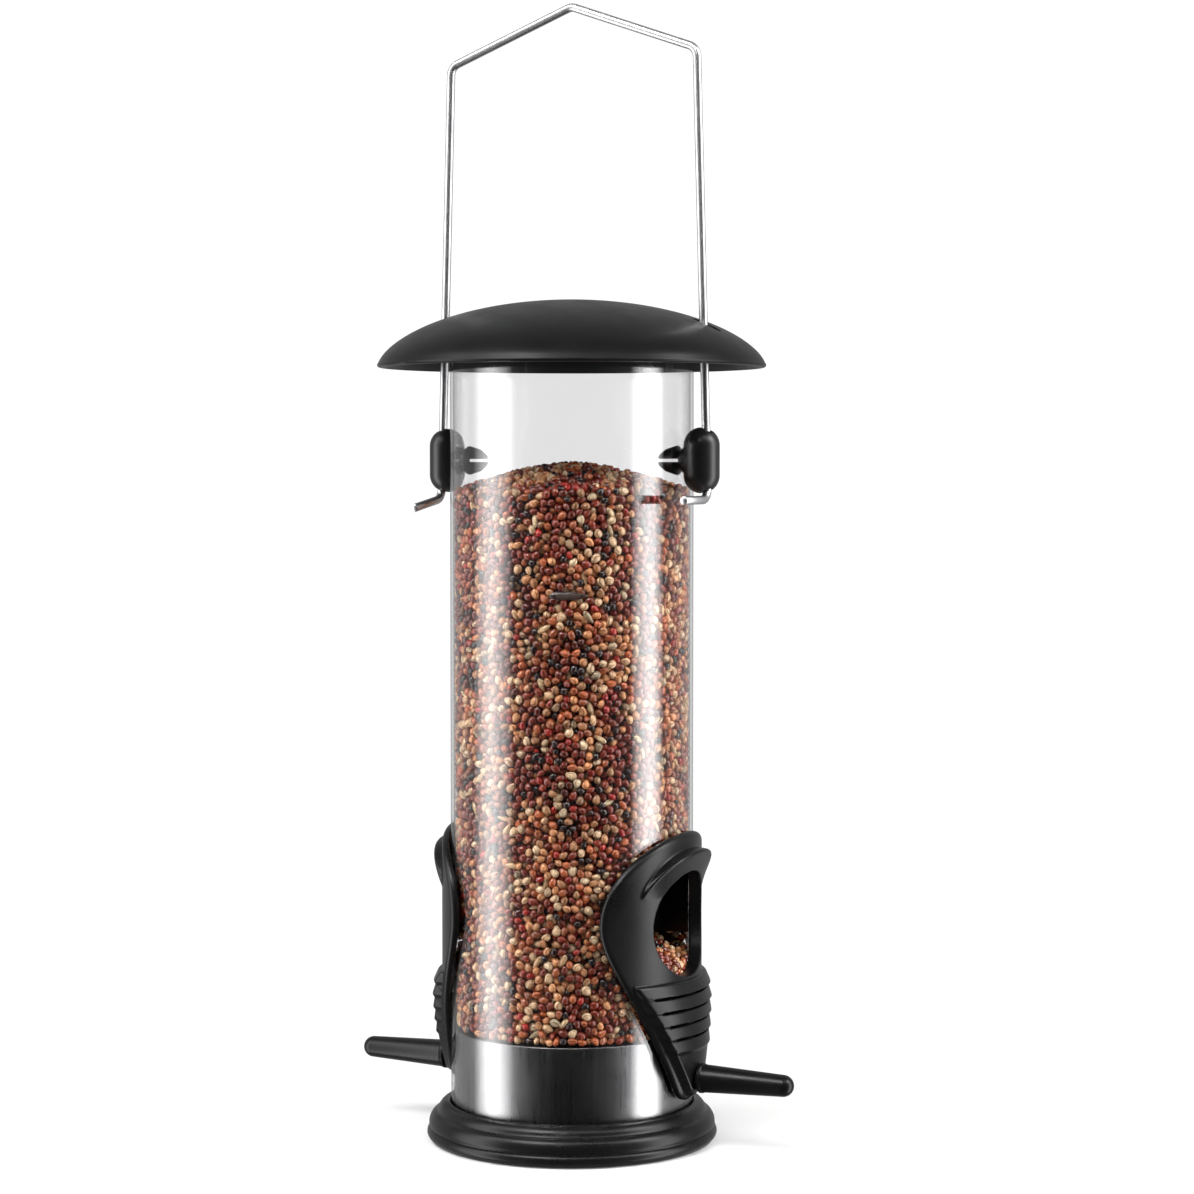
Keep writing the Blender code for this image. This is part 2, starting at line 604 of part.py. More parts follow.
def make_seed_fill(material, body, height):
    """The seed as one mass: mounded on top, and sloping to each opening under the scoops."""
    edge = TUBE_BORE - GAP
    fall = SEED_CREST - SEED_EDGE
    mound = [(edge * f, SEED_CREST - fall * f**SEED_MOUND) for f in (0, 0.2, 0.4, 0.6, 0.8, 1)]
    profile = [*mound, (edge, BAND_TOP + GAP), (0, BAND_TOP + GAP)]
    mass = to_mesh(lathe(profile, TUBE_STEPS), "seed_fill")
    fill = make_object("seed_fill", mass, material, body, height)
    for side in (-1, 1):
        bay = scoop_block(GAP, SCOOP_FROM - GAP, 1.1 * TUBE_RADIUS, SEED_LIP - GAP)
        bmesh.ops.rotate(bay, verts=bay.verts, matrix=Matrix.Rotation(0 if side > 0 else math.pi, 3, "Z"))
        combine(fill, "DIFFERENCE", bay, f"seed_bay_{side}")
    return fill


def make_band(material, body, height):
    """Steel sleeve inside the foot of the tube."""
    outer = TUBE_BORE - GAP
    inner = outer - BAND_WALL
    profile = [(outer, BAND_TOP), (outer, TUBE_FROM), (inner, TUBE_FROM), (inner, BAND_TOP)]
    sleeve = to_mesh(lathe(profile, TUBE_STEPS), "steel_band")
    band = make_object("steel_band", sleeve, material, body, height)
    combine(band, "DIFFERENCE", perch_holes(), "band_holes")
    return band


def make_floor(material, body, height):
    """A cap in the top of the band, which the seed stands on."""
    outer = TUBE_BORE - 2 * GAP - BAND_WALL
    inner = outer - FLOOR_WALL
    under, foot = BAND_TOP - FLOOR_THICKNESS, BAND_TOP - FLOOR_SKIRT
    profile = [(0, BAND_TOP), (outer, BAND_TOP), (outer, foot), (inner, foot), (inner, under), (0, under)]
    cap = to_mesh(lathe(profile, TUBE_STEPS), "seed_floor")
    return make_object("seed_floor", cap, material, body, height)


def make_base(material, body, height):
    """The foot: a flared moulding over a bead, with a socket for the tube and a plug inside the band."""
    plug = TUBE_BORE - 2 * GAP - BAND_WALL
    plug_top = BASE_TOP - MM
    socket = TUBE_RADIUS + GAP
    lip = (socket + BASE_LIP, BASE_TOP)
    waist = tuple(BASE_WAIST)
    upper, lower = Vector(lip) + BASE_FLARE[0], BASE_WAIST + BASE_FLARE[1]
    moulding = bezier(lip, upper, lower, waist, 8)
    bead = arc((BASE_RADIUS - BASE_BEAD.x, BASE_BEAD.y), tuple(BASE_BEAD), 60, -50, 6)
    ring_out, ring_in = BASE_RING
    profile = [
        (0, BASE_SEAT),
        (plug - BASE_PLUG_WALL, BASE_SEAT),
        (plug - BASE_PLUG_WALL, plug_top),
        (plug, plug_top),
        (plug, BASE_SEAT),
        (socket, BASE_SEAT),
        (socket, BASE_TOP),
        lip,
        *moulding,
        waist,
        *bead,
        (ring_out, 0),
        (ring_in, 0),
        (ring_in - MM, BASE_RECESS),
        (0, BASE_RECESS),
    ]
    return make_object("base", to_mesh(lathe(profile, FOOT_STEPS), "base"), material, body, height)


def main():
    clear_scene()
    black = make_material("black_plastic", (0.022, 0.022, 0.024), 0.42)
    lid_black = make_material("black_lid", (0.02, 0.02, 0.021), 0.38)
    clear = make_material("clear_plastic", (0.95, 0.96, 0.97), 0.05, alpha=0.25)
    steel = make_material("brushed_steel", (0.66, 0.66, 0.67), 0.25, metallic=1.0)
    wire = make_material("bright_wire", (0.72, 0.72, 0.73), 0.16, metallic=1.0)
    seed = make_material("seed", (0.42, 0.17, 0.07), 0.5)

    hanger = (make_body("hanger_frame", OVERALL_HEIGHT - 2 * WIRE_RADIUS), OVERALL_HEIGHT - 2 * WIRE_RADIUS)
    lid = (make_body("lid_frame", TUBE_TO), TUBE_TO)
    feeder = (make_body("feeder_frame", KNOB_HEIGHT), KNOB_HEIGHT)
    foot = (make_body("base_frame", TUBE_FROM), TUBE_FROM)

    make_hanger_wire(wire, *hanger)
    make_lid(lid_black, *lid)
    make_tube(clear, *feeder)
    make_band(steel, *feeder)
    make_floor(black, *feeder)
    make_seed_fill(seed, *feeder)
    make_base(black, *foot)
    port_mesh = make_port_mesh()
    perch_mesh = make_perch_mesh()
    for side, word in ((1, "right"), (-1, "left")):
        turn = 0 if side > 0 else math.pi
        make_knob(f"wire_knob_{word}", black, *hanger, side)
        make_object(f"port_{word}", port_mesh.copy(), black, *feeder, turn)
        make_object(f"perch_{word}", perch_mesh.copy(), black, *feeder, turn)
        make_scoop(f"port_scoop_{word}", black, *feeder, turn)


main()
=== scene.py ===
"""Looks of the hanging seed feeder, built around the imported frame.

Lengths are in millimetres and heights are above the underside of the foot, until settle() turns a
finished mesh into metres in the row frame.
"""

import json
from itertools import product
from math import atan2, copysign, cos, pi, radians, sin, sqrt, tan, tau
from types import SimpleNamespace

import bmesh
import bpy
import numpy as np
from mathutils import Matrix, Vector


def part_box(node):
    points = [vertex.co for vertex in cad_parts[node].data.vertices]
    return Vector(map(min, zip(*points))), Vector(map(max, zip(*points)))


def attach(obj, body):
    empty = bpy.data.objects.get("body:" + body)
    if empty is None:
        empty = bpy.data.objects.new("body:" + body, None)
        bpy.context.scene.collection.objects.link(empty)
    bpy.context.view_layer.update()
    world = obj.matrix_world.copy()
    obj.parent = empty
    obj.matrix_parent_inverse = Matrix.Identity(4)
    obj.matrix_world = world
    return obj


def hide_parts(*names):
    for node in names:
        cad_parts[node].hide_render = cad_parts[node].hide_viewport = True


MM = 0.001
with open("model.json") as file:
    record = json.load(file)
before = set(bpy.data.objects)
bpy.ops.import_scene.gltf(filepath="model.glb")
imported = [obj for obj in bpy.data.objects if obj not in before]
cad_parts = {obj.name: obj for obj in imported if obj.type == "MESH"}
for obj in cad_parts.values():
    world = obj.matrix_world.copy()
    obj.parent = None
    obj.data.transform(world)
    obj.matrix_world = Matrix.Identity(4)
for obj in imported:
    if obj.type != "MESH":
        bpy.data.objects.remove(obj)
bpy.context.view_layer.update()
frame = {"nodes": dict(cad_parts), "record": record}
FOOT_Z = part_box("base")[0].z

ROUND_STEPS = 192  # facets round the tube, the lid and the foot
GAP = 0.3  # the frame's clearance between neighbouring pieces
PERCH_HOLE, PIN_HOLE = 2.6, 2.7  # radii of the holes for the perches and the snap pins
THROUGH, THROUGH_TUBE = 50, 40  # how far a cutting rod reaches each way: past the ports, past the tube

BODIES = {node: body for body, nodes in frame["record"]["behaviour"]["bodies"].items() for node in nodes}


def span(node):
    """A node's lowest and highest corner in millimetres, with heights above the foot."""
    lift = Vector((0, 0, FOOT_Z))
    low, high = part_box(node)
    return (low - lift) / MM, (high - lift) / MM


TUBE_RADIUS = span("tube")[1].x


def middle_z(node):
    """The height of a node's middle."""
    low, high = span(node)
    return (low.z + high.z) / 2


# ---- mesh helpers


def arc(centre, radii, start, end, steps):
    """Points of an ellipse from one angle to another, in degrees."""
    angles = np.radians(np.linspace(start, end, steps + 1))
    return [(centre[0] + radii[0] * cos(a), centre[1] + radii[1] * sin(a)) for a in angles]


def bezier(start, handle_a, handle_b, end, steps):
    """Points between the ends of a cubic curve, without the ends themselves."""
    points = []
    for t in np.linspace(0, 1, steps + 1)[1:-1]:
        weights = ((1 - t) ** 3, 3 * t * (1 - t) ** 2, 3 * t * t * (1 - t), t**3)
        corners = (start, handle_a, handle_b, end)
        points.append(tuple(sum(w * c[k] for w, c in zip(weights, corners)) for k in (0, 1)))
    return points


def stitch(bm, pairs):
    """A strip of faces between the two rings of each pair."""
    for near, far in pairs:
        for i in range(len(near)):
            j = (i + 1) % len(near)
            bm.faces.new((near[i], near[j], far[j], far[i]))


def loft(rings):
    """A solid through rings of as many points each."""
    bm = bmesh.new()
    loops = [[bm.verts.new(point) for point in ring] for ring in rings]
    stitch(bm, zip(loops, loops[1:]))
    bm.faces.new(loops[0])
    bm.faces.new(loops[-1])
    return bm


def lathe(profile, steps=ROUND_STEPS):
    """A solid turned about Z from (radius, height) points. An outline that starts off the axis closes on
    itself, and any other starts and ends on the axis."""
    turns = [(cos(a), sin(a)) for a in np.linspace(0, tau, steps, endpoint=False)]
    on_axis = profile[0][0] == 0
    inner = profile[1:-1] if on_axis else profile
    bm = bmesh.new()
    loops = [[bm.verts.new((r * c, r * s, z)) for c, s in turns] for r, z in inner]
    stitch(bm, zip(loops, loops[1:]))
    if not on_axis:
        stitch(bm, [(loops[-1], loops[0])])
        return bm
    for (_, height), loop in ((profile[0], loops[0]), (profile[-1], loops[-1])):
        tip = bm.verts.new((0, 0, height))
        for i in range(steps):
            bm.faces.new((tip, loop[i], loop[(i + 1) % steps]))
    return bm


def along_x(bm, height):
    """Turns a lathe's axis from Z to X, at a height. What was height becomes X."""
    turn = Matrix.Translation((0, 0, height)) @ Matrix.Rotation(pi / 2, 4, "Y")
    bmesh.ops.transform(bm, matrix=turn, verts=bm.verts)
    return bm


def prism(points, sweep):
    """A flat outline of 3D points extruded by a vector."""
    shifted = [tuple(Vector(point) + Vector(sweep)) for point in points]
    return loft([points, shifted])


def block(low, high):
    """A box between two corners."""
    corners = [(low[0], low[1]), (high[0], low[1]), (high[0], high[1]), (low[0], high[1])]
    return prism([(x, y, low[2]) for x, y in corners], (0, 0, high[2] - low[2]))


def rod_along_x(half_y, half_z, height, reach, sides=64):
    """An elliptic rod along X through both sides of the tube."""
    outline = arc((0, height), (half_y, half_z), 0, 360 - 360 / sides, sides - 1)
    return prism([(-reach, y, z) for y, z in outline], (2 * reach, 0, 0))


def rounded_path(corners, radius, steps):
    """The corners of a polyline with each inner one rounded to the radius."""
    path = [corners[0]]
    for before, corner, after in zip(corners, corners[1:], corners[2:]):
        back, ahead = (before - corner).normalized(), (after - corner).normalized()
        half = back.angle(ahead) / 2
        centre = corner + (back + ahead).normalized() * radius / sin(half)
        start = (corner + back * radius / tan(half) - centre).normalized()
        end = (corner + ahead * radius / tan(half) - centre).normalized()
        path.extend(centre + start.slerp(end, t) * radius for t in np.linspace(0, 1, steps + 1))
    path.append(corners[-1])
    return path


def sweep(path, section, up):
    """Rings of a flat section carried along a path without twist. section(t) gives its offsets at share t."""
    rings = []
    ahead = (path[1] - path[0]).normalized()
    side = ahead.cross(up).normalized()
    for i, point in enumerate(path):
        near, far = path[max(i - 1, 0)], path[min(i + 1, len(path) - 1)]
        ahead = (far - near).normalized()
        side = (side - ahead * side.dot(ahead)).normalized()
        top = side.cross(ahead)
        rings.append([point + side * a + top * b for a, b in section(i / (len(path) - 1))])
    return rings


def placed(name, data):
    """A new object in the scene."""
    obj = bpy.data.objects.new(name, data)
    bpy.context.scene.collection.objects.link(obj)
    return obj


def plain(bm):
    """The mesh of one shape, with its faces turned outwards."""
    bmesh.ops.recalc_face_normals(bm, faces=bm.faces)
    mesh = bpy.data.meshes.new("plain")
    bm.to_mesh(mesh)
    bm.free()
    return mesh


def carve(solid, joined=(), cut=(), voxel=0.0, smooth=0):
    """One mesh of the solid with others joined to it and cut from it. With a voxel size it is remeshed and
    smoothed, for a moulded part's small radii."""
    target = placed("carved", plain(solid))
    helpers = []
    for operation, shapes in (("UNION", joined), ("DIFFERENCE", cut)):
        for shape in shapes:
            helper = placed("helper", plain(shape))
            helpers.append(helper)
            modifier = target.modifiers.new("step", "BOOLEAN")
            modifier.operation = operation
            modifier.solver = "EXACT"
            modifier.object = helper
    if voxel:
        remesh = target.modifiers.new("remesh", "REMESH")
        remesh.mode = "VOXEL"
        remesh.voxel_size = voxel
        relax = target.modifiers.new("relax", "SMOOTH")
        relax.factor = 0.5
        relax.iterations = smooth
    bpy.context.view_layer.update()
    graph = bpy.context.evaluated_depsgraph_get()
    mesh = bpy.data.meshes.new_from_object(target.evaluated_get(graph))
    for obj in (target, *helpers):
        bpy.data.objects.remove(obj)
    return mesh


def radial_normals(mesh):
    """Shading normals square to the axis on a tube's walls, so that cut holes leave no streaks."""
    result = []
    for polygon in mesh.polygons:
        for index in polygon.vertices:
            point = mesh.vertices[index].co
            out = Vector((point.x, point.y, 0)).normalized()
            lean = polygon.normal.dot(out)
            result.append(tuple(out * copysign(1, lean) if abs(lean) > 0.9 else polygon.normal))
    mesh.normals_split_custom_set(result)


def put(data, key, values, kind=np.float32):
    """Writes an array to a mesh's data."""
    data.foreach_set(key, values.astype(kind).ravel())


def settle(name, mesh, node, material, *, sharp=35.0, smooth=True):
    """Puts a finished mesh in the row frame as a piece that stands for a CAD node."""
    mesh.name = name
    mesh.transform(Matrix.Translation((0, 0, FOOT_Z)) @ Matrix.Scale(MM, 4))
    if smooth:
        mesh.shade_smooth()
        mesh.set_sharp_from_angle(angle=radians(sharp))
    mesh.materials.clear()
    mesh.materials.append(material)
    obj = placed(name, mesh)
    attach(obj, BODIES[node])
    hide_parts(node)
    return obj


def settle_pair(name, mesh, node, material, sharp=35.0):
    """Settles the mesh on the right, and a copy turned half round the feeder's axis on the left."""
    left = mesh.copy()
    left.transform(Matrix.Rotation(pi, 4, "Z"))
    for word, side in (("right", mesh), ("left", left)):
        settle(f"{name}_{word}", side, f"{node}_{word}", material, sharp=sharp)


# ---- materials


def new_material(name):
    material = bpy.data.materials.new(name)
    material.use_nodes = True
    return material, material.node_tree, material.node_tree.nodes["Principled BSDF"]


def feed(tree, node, inputs):
    """Links each input to a socket, or sets it to a value."""
    for key, value in inputs.items():
        if isinstance(value, bpy.types.NodeSocket):
            tree.links.new(value, node.inputs[key])
        else:
            node.inputs[key].default_value = value


def add(tree, kind, inputs=None, **settings):
    """A shader node with its settings and inputs."""
    node = tree.nodes.new("ShaderNode" + kind)
    for key, value in settings.items():
        setattr(node, key, value)
    feed(tree, node, inputs or {})
    return node


def blend(tree, factor, first, second):
    """Makes the material's surface a mix of two shader nodes."""
    mix = add(tree, "MixShader", {0: factor, 1: first.outputs[0], 2: second.outputs[0]})
    tree.links.new(mix.outputs[0], tree.nodes["Material Output"].inputs["Surface"])


def on_piece(tree, stretch=(1, 1, 1)):
    """Position on the piece in metres, stretched."""
    place = add(tree, "TexCoord").outputs["Object"]
    return add(tree, "Mapping", {"Vector": place, "Scale": stretch}).outputs["Vector"]


def noise(tree, place, size, detail=3.0, roughness=0.55):
    """Noise whose lumps are about the size, in millimetres."""
    inputs = {"Vector": place, "Scale": 1 / (size * MM), "Detail": detail, "Roughness": roughness}
    return add(tree, "TexNoise", inputs).outputs["Fac"]


def remap(tree, value, low, high, to_low, to_high):
    inputs = {"Value": value, "From Min": low, "From Max": high, "To Min": to_low, "To Max": to_high}
    return add(tree, "MapRange", inputs).outputs["Result"]


def calc(tree, operation, a, b=0.0):
    return add(tree, "Math", {0: a, 1: b}, operation=operation).outputs[0]


def mixed(tree, factor, a, b, kind="MIX"):
    """Two colours mixed by a factor. A colour is three numbers or a socket."""
    a, b = ((*colour, 1) if isinstance(colour, tuple) else colour for colour in (a, b))
    return add(tree, "Mix", {0: factor, 6: a, 7: b}, data_type="RGBA", blend_type=kind).outputs[2]


def bump(tree, height, distance):
    """A normal from a height of 0 to 1, which is that many millimetres at 1."""
    inputs = {"Height": height, "Distance": distance * MM}
    return add(tree, "Bump", inputs).outputs["Normal"]


def moulded_black(name, colour, roughness, grain, depth, gloss, rub_and_highlight_tone=0.024):
    """Injection-moulded plastic: fine spark grain, faint flow marks, and paler edges: rubbed at a dim edge
    tone, a painted highlight at a bright one.
    """
    material, tree, shader = new_material(name)
    place = on_piece(tree)
    flow = noise(tree, place, 9.0, 4.0)
    fine = noise(tree, place, grain, 2.0)
    edge = remap(tree, add(tree, "NewGeometry").outputs["Pointiness"], 0.515, 0.6, 0.0, 1.0)
    # Edges are painted paler: rubbed plastic at a dim edge tone, a painted highlight at a bright one.
    rub_and_highlight_edge = calc(tree, "MULTIPLY", edge, remap(tree, noise(tree, place, 2.2), 0.4, 0.7, 0.1, 0.5))
    body = mixed(tree, flow, tuple(0.75 * c for c in colour), tuple(1.3 * c for c in colour))
    spread = calc(tree, "ADD", remap(tree, flow, 0.3, 0.7, -0.04, 0.05), roughness)
    feed(tree, shader, {
        "Base Color": mixed(tree, rub_and_highlight_edge, body, (rub_and_highlight_tone, rub_and_highlight_tone, 1.05 * rub_and_highlight_tone)),
        "Roughness": calc(tree, "ADD", spread, remap(tree, fine, 0.3, 0.7, -0.03, 0.03)),
        "Normal": bump(tree, fine, depth),
        "Specular IOR Level": gloss,
    })
    return material


def brushed_steel():
    """Bright steel with fine vertical streaks and a few faint smudges."""
    material, tree, shader = new_material("brushed_steel")
    streak = noise(tree, on_piece(tree, (1, 1, 0.02)), 0.5, 4.0)
    smudge = noise(tree, on_piece(tree), 11.0, 4.0)
    lines = remap(tree, streak, 0.3, 0.7, 0.25, 0.33)
    feed(tree, shader, {
        "Metallic": 1.0,
        "Base Color": mixed(tree, streak, (0.22, 0.22, 0.223), (0.29, 0.29, 0.295)),
        "Roughness": calc(tree, "ADD", lines, remap(tree, smudge, 0.45, 0.7, 0.0, 0.06)),
        "Normal": bump(tree, streak, 0.0012),
    })
    return material


def bright_wire():
    """Plated wire, a little duller in places."""
    material, tree, shader = new_material("bright_wire")
    spots = noise(tree, on_piece(tree), 1.6, 5.0)
    feed(tree, shader, {
        "Metallic": 1.0,
        "Base Color": mixed(tree, spots, (0.50, 0.50, 0.51), (0.60, 0.60, 0.61)),
        "Roughness": remap(tree, spots, 0.3, 0.7, 0.33, 0.39),
    })
    return material


MIRROR_RATIO = 1.7  # of the tube's wall to air, above acrylic's own 1.49 for stronger mirror bands


def clear_plastic():
    """Clear tube: it lets light straight through, and mirrors more at a slant. The ratio is turned over on
    the inside of a surface, so that both sides mirror alike."""
    material, tree, shader = new_material("clear_plastic")
    tree.nodes.remove(shader)
    back = add(tree, "NewGeometry").outputs["Backfacing"]
    ratio = remap(tree, back, 0.0, 1.0, MIRROR_RATIO, 1 / MIRROR_RATIO)
    place = on_piece(tree)
    scuffs = noise(tree, on_piece(tree, (1, 1, 0.12)), 1.1, 5.0, 0.7)
    normal = bump(tree, noise(tree, place, 14.0, 1.0), 0.012)
    share = add(tree, "Fresnel", {"IOR": ratio, "Normal": normal}).outputs["Fac"]
    through = add(tree, "BsdfTransparent", {"Color": (0.985, 0.983, 0.985, 1)})
    dull = remap(tree, scuffs, 0.45, 0.75, 0.04, 0.13)
    mirror = add(tree, "BsdfGlossy", {"Roughness": dull, "Normal": normal})
    blend(tree, share, through, mirror)
    return material


def seed_coat():
    """A seed's skin: its own colour, painted shade in a ring round each face, a dark eye at its point and
    fine speckles.
    """
    material, tree, shader = new_material("seed_coat")
    own = add(tree, "Attribute", attribute_name="seed_colour").outputs["Color"]
    where = add(tree, "Attribute", attribute_name="on_seed").outputs["Vector"]
    unit = add(tree, "VectorMath", {0: where}, operation="NORMALIZE").outputs[0]
    axes = add(tree, "SeparateXYZ", {0: unit})
    flat = calc(tree, "ABSOLUTE", axes.outputs["Z"])
    # Painted shade: a darker ring round each face, where the seed curves over towards its edge.
    off_ring = calc(tree, "ABSOLUTE", calc(tree, "SUBTRACT", flat, 0.66))
    ring = remap(tree, off_ring, 0.03, 0.15, 0.78, 0.0)
    eye = remap(tree, axes.outputs["X"], 0.86, 0.97, 0.0, 0.6)
    dark = calc(tree, "MAXIMUM", ring, eye)
    speckle = noise(tree, on_piece(tree), 0.45, 3.0, 0.7)
    shade = remap(tree, speckle, 0.3, 0.7, 0.78, 1.18)
    grey = add(tree, "CombineColor", {0: shade, 1: shade, 2: shade}).outputs[0]
    tinted = mixed(tree, 1.0, own, grey, "MULTIPLY")
    # The seed's colour darkened, for the painted ring shade and for the eye.
    deep = mixed(tree, 1.0, own, (0.30, 0.16, 0.10), "MULTIPLY")
    feed(tree, shader, {
        "Base Color": mixed(tree, dark, tinted, deep),
        "Roughness": remap(tree, speckle, 0.3, 0.7, 0.11, 0.28),
        "Normal": bump(tree, speckle, 0.03),
        "Specular IOR Level": 0.8,
    })
    return material


def painted_seed_shade():
    """Painted shade for the seed behind the outer seeds: near-black lumps, darker between them."""
    material, tree, shader = new_material("painted_seed_shade")
    cells = {"Vector": on_piece(tree), "Scale": 1 / (2.2 * MM)}
    lumps = add(tree, "TexVoronoi", cells).outputs["Distance"]
    feed(tree, shader, {
        # Painted shade: near-black, and darker still towards the edges of the lumps.
        "Base Color": mixed(tree, lumps, (0.022, 0.007, 0.004), (0.004, 0.002, 0.0015)),
        "Roughness": 0.7,
        "Normal": bump(tree, lumps, -0.8),
    })
    return material


# ---- turned pieces


def wire_radius():
    """Half the wire's thickness: it is all that stands out on the +Y side."""
    return span("hanger_wire")[1].y


WIRE_BEND = 3.2
WIRE_TRIM = 0.12  # bevel of the sheared ends
LEFT_DROOP, LEFT_DROP = 2.4, 1.0  # how much lower the left foot's tip and the left shoulder sit
WIRE_HEEL_Z, WIRE_SHOULDER_Z = 167.6, 282.5
WIRE_TAPER = 3.2  # how much nearer the axis a leg is at the shoulder than at its heel


def wire_at(height):
    """The leg's distance from the feeder's axis at a height."""
    foot_x = span("hanger_wire")[1].x - wire_radius()
    return foot_x - WIRE_TAPER * (height - WIRE_HEEL_Z) / (WIRE_SHOULDER_Z - WIRE_HEEL_Z)


def build_wire(material):
    """One wire: foot, leg, shoulder, apex, shoulder, leg, foot, with a sheared end on each foot."""
    low, high = span("hanger_wire")
    radius = wire_radius()
    foot_x, shoulder_x = wire_at(WIRE_HEEL_Z), wire_at(WIRE_SHOULDER_Z)
    slope = atan2(high.z - radius - WIRE_SHOULDER_Z, shoulder_x)
    apex = Vector((0, 0, high.z - radius + WIRE_BEND * (1 / cos(slope) - 1)))
    ends = []
    for side, droop, drop in ((-1, LEFT_DROOP, LEFT_DROP), (1, 0.0, 0.0)):
        tip = Vector((side * foot_x, low.y + 0.13, WIRE_HEEL_Z - droop))
        shoulder = Vector((side * shoulder_x, 0, WIRE_SHOULDER_Z - drop))
        ends.append([tip, Vector((side * foot_x, 0, WIRE_HEEL_Z)), shoulder])
    corners = [*ends[0], apex, *reversed(ends[1])]
    path = rounded_path(corners, WIRE_BEND, 20)
    start, end = (path[0] - path[1]).normalized(), (path[-1] - path[-2]).normalized()
    path = [path[0], path[0] - start * WIRE_TRIM, *path[1:-1], path[-1] - end * WIRE_TRIM, path[-1]]
    last = len(path) - 1

    def section(t):
        at_end = round(t * last) in (0, last)
        size = radius - (WIRE_TRIM if at_end else 0.0)
        return arc((0, 0), (size, size), 0, 345, 23)

    mesh = plain(loft(sweep(path, section, Vector((1, 0, 0)))))
    settle("hanger_wire_bent", mesh, "hanger_wire", material, sharp=50)


def build_base(material):
    """The foot: two flared rolls over a bead, a lip round the tube and a plug inside the band."""
    outer, _, top = span("base")[1]
    tube_low, tube_high = span("tube")
    socket = tube_high.x + GAP
    seat = tube_low.z - GAP
    plug = span("steel_band")[1].x - 0.9
    lip = socket + 0.45
    roll_end = (lip + 2.75, top - 2.25)
    upper_roll = bezier((lip + 0.1, top - 0.3), (lip + 1.5, top + 0.1), (lip + 2.5, top - 1.3), roll_end, 9)
    cove = [(lip + 2.85, top - 2.55), (lip + 3.05, top - 2.75)]
    lower_roll = bezier(
        (lip + 3.2, top - 2.8), (lip + 4.2, top - 3.0), (outer - 0.55, 5.9), (outer - 0.5, 4.1), 12
    )
    step = [(outer - 0.52, 3.95), (outer - 0.66, 3.72), (outer - 0.72, 3.5), (outer - 0.62, 3.32)]
    bead = arc((outer - 1.3, 1.9), (1.3, 1.45), 68, -58, 16)
    socket_lip = arc((socket + 0.22, top - 0.2), (0.22, 0.2), 180, 20, 6)
    profile = [
        (0, seat), (plug - 1.6, seat), (plug - 1.5, seat + 0.1), (plug - 1.5, top - 1.3),
        (plug - 1.2, top - 1.0), (plug - 0.3, top - 1.0), (plug, top - 1.3), (plug, seat),
        (socket, seat), (socket, top - 0.25), *socket_lip, *upper_roll, *cove, *lower_roll, *step, *bead,
        (outer - 0.9, 0.25), (outer - 1.2, 0.03), (outer - 1.4, 0),
        (33.2, 0), (33.0, 0.1), (32.1, 1.5), (31.8, 1.6), (0, 1.6),
    ]
    settle("base_moulding", plain(lathe(profile)), "base", material, sharp=50)


def build_band(material):
    """Steel sleeve in the foot of the tube, with rolled edges and holes for the perches."""
    low, high = span("steel_band")
    roll = 0.3  # half the wall
    middle = high.x - roll
    rounded_top = arc((middle, high.z - roll), (roll, roll), 0, 180, 8)
    rounded_foot = arc((middle, low.z + roll), (roll, roll), 180, 360, 8)
    profile = [*rounded_top, *rounded_foot]
    mesh = carve(lathe(profile), cut=[perch_hole()])
    settle("steel_sleeve", mesh, "steel_band", material, sharp=40)


def perch_hole(sides=48):
    return rod_along_x(PERCH_HOLE, PERCH_HOLE, middle_z("perch_right"), THROUGH, sides)


def build_floor(material):
    low, high = span("seed_floor")
    outer, inner, under = high.x, high.x - 1.4, high.z - 1.7
    profile = [
        (0, high.z - 0.5), (outer - 2.0, high.z - 0.5), (outer - 1.6, high.z), (outer - 0.3, high.z),
        (outer, high.z - 0.3), (outer, low.z + 0.2), (outer - 0.2, low.z), (inner, low.z),
        (inner, under - 0.6), (inner - 0.6, under), (0, under),
    ]
    settle("seed_floor_cap", plain(lathe(profile, 96)), "seed_floor", material)


def build_tube(material):
    low, high = span("tube")
    outer, bore = high.x, tube_bore()
    ease = 0.2
    profile = [
        (outer, high.z - ease), (outer, low.z + ease), (outer - ease, low.z), (bore + ease, low.z),
        (bore, low.z + ease), (bore, high.z - ease), (bore + ease, high.z), (outer - ease, high.z),
    ]
    sleeve_half = outer * sin(SLEEVE_HALF[0] / WRAP_RADIUS)
    cuts = [
        rod_along_x(sleeve_half + GAP, SLEEVE_HALF[1] + GAP, OPENING_Z, THROUGH_TUBE),
        rod_along_x(PIN_HOLE, PIN_HOLE, middle_z("wire_knob_right"), THROUGH_TUBE, 48),
        perch_hole(),
    ]
    mesh = carve(lathe(profile, 256), cut=cuts)
    obj = settle("clear_tube", mesh, "tube", material, smooth=False)
    obj.data.shade_smooth()
    radial_normals(obj.data)


def tube_bore():
    """Inner radius of the tube, which takes the steel band with the usual gap."""
    return span("steel_band")[1].x + GAP


def build_perches(material):
    """Tapered pegs with a collar against the port."""
    low, high = span("perch_right")
    collar, tip_radius, root_radius = high.y, 2.8, high.y - 0.25
    collar_x, ease = TUBE_RADIUS + BULGE_FACE + BULGE_CROWN + GAP, 0.25
    tip = arc((0, high.x - tip_radius), (tip_radius, tip_radius), 0, 90, 14)
    profile = [
        (0, low.x), (1.9, low.x), (2.3, low.x + 0.4), (2.3, collar_x),
        (collar - ease, collar_x), (collar, collar_x + ease), (collar, collar_x + 1.2 - ease),
        (collar - ease, collar_x + 1.2), (root_radius + 0.1, collar_x + 1.2), (root_radius, collar_x + 1.6),
        *tip[:-1], (0, high.x),
    ]
    mesh = plain(along_x(lathe(profile, 64), middle_z("perch_right")))
    settle_pair("perch_peg", mesh, "perch", material)


# ---- lid

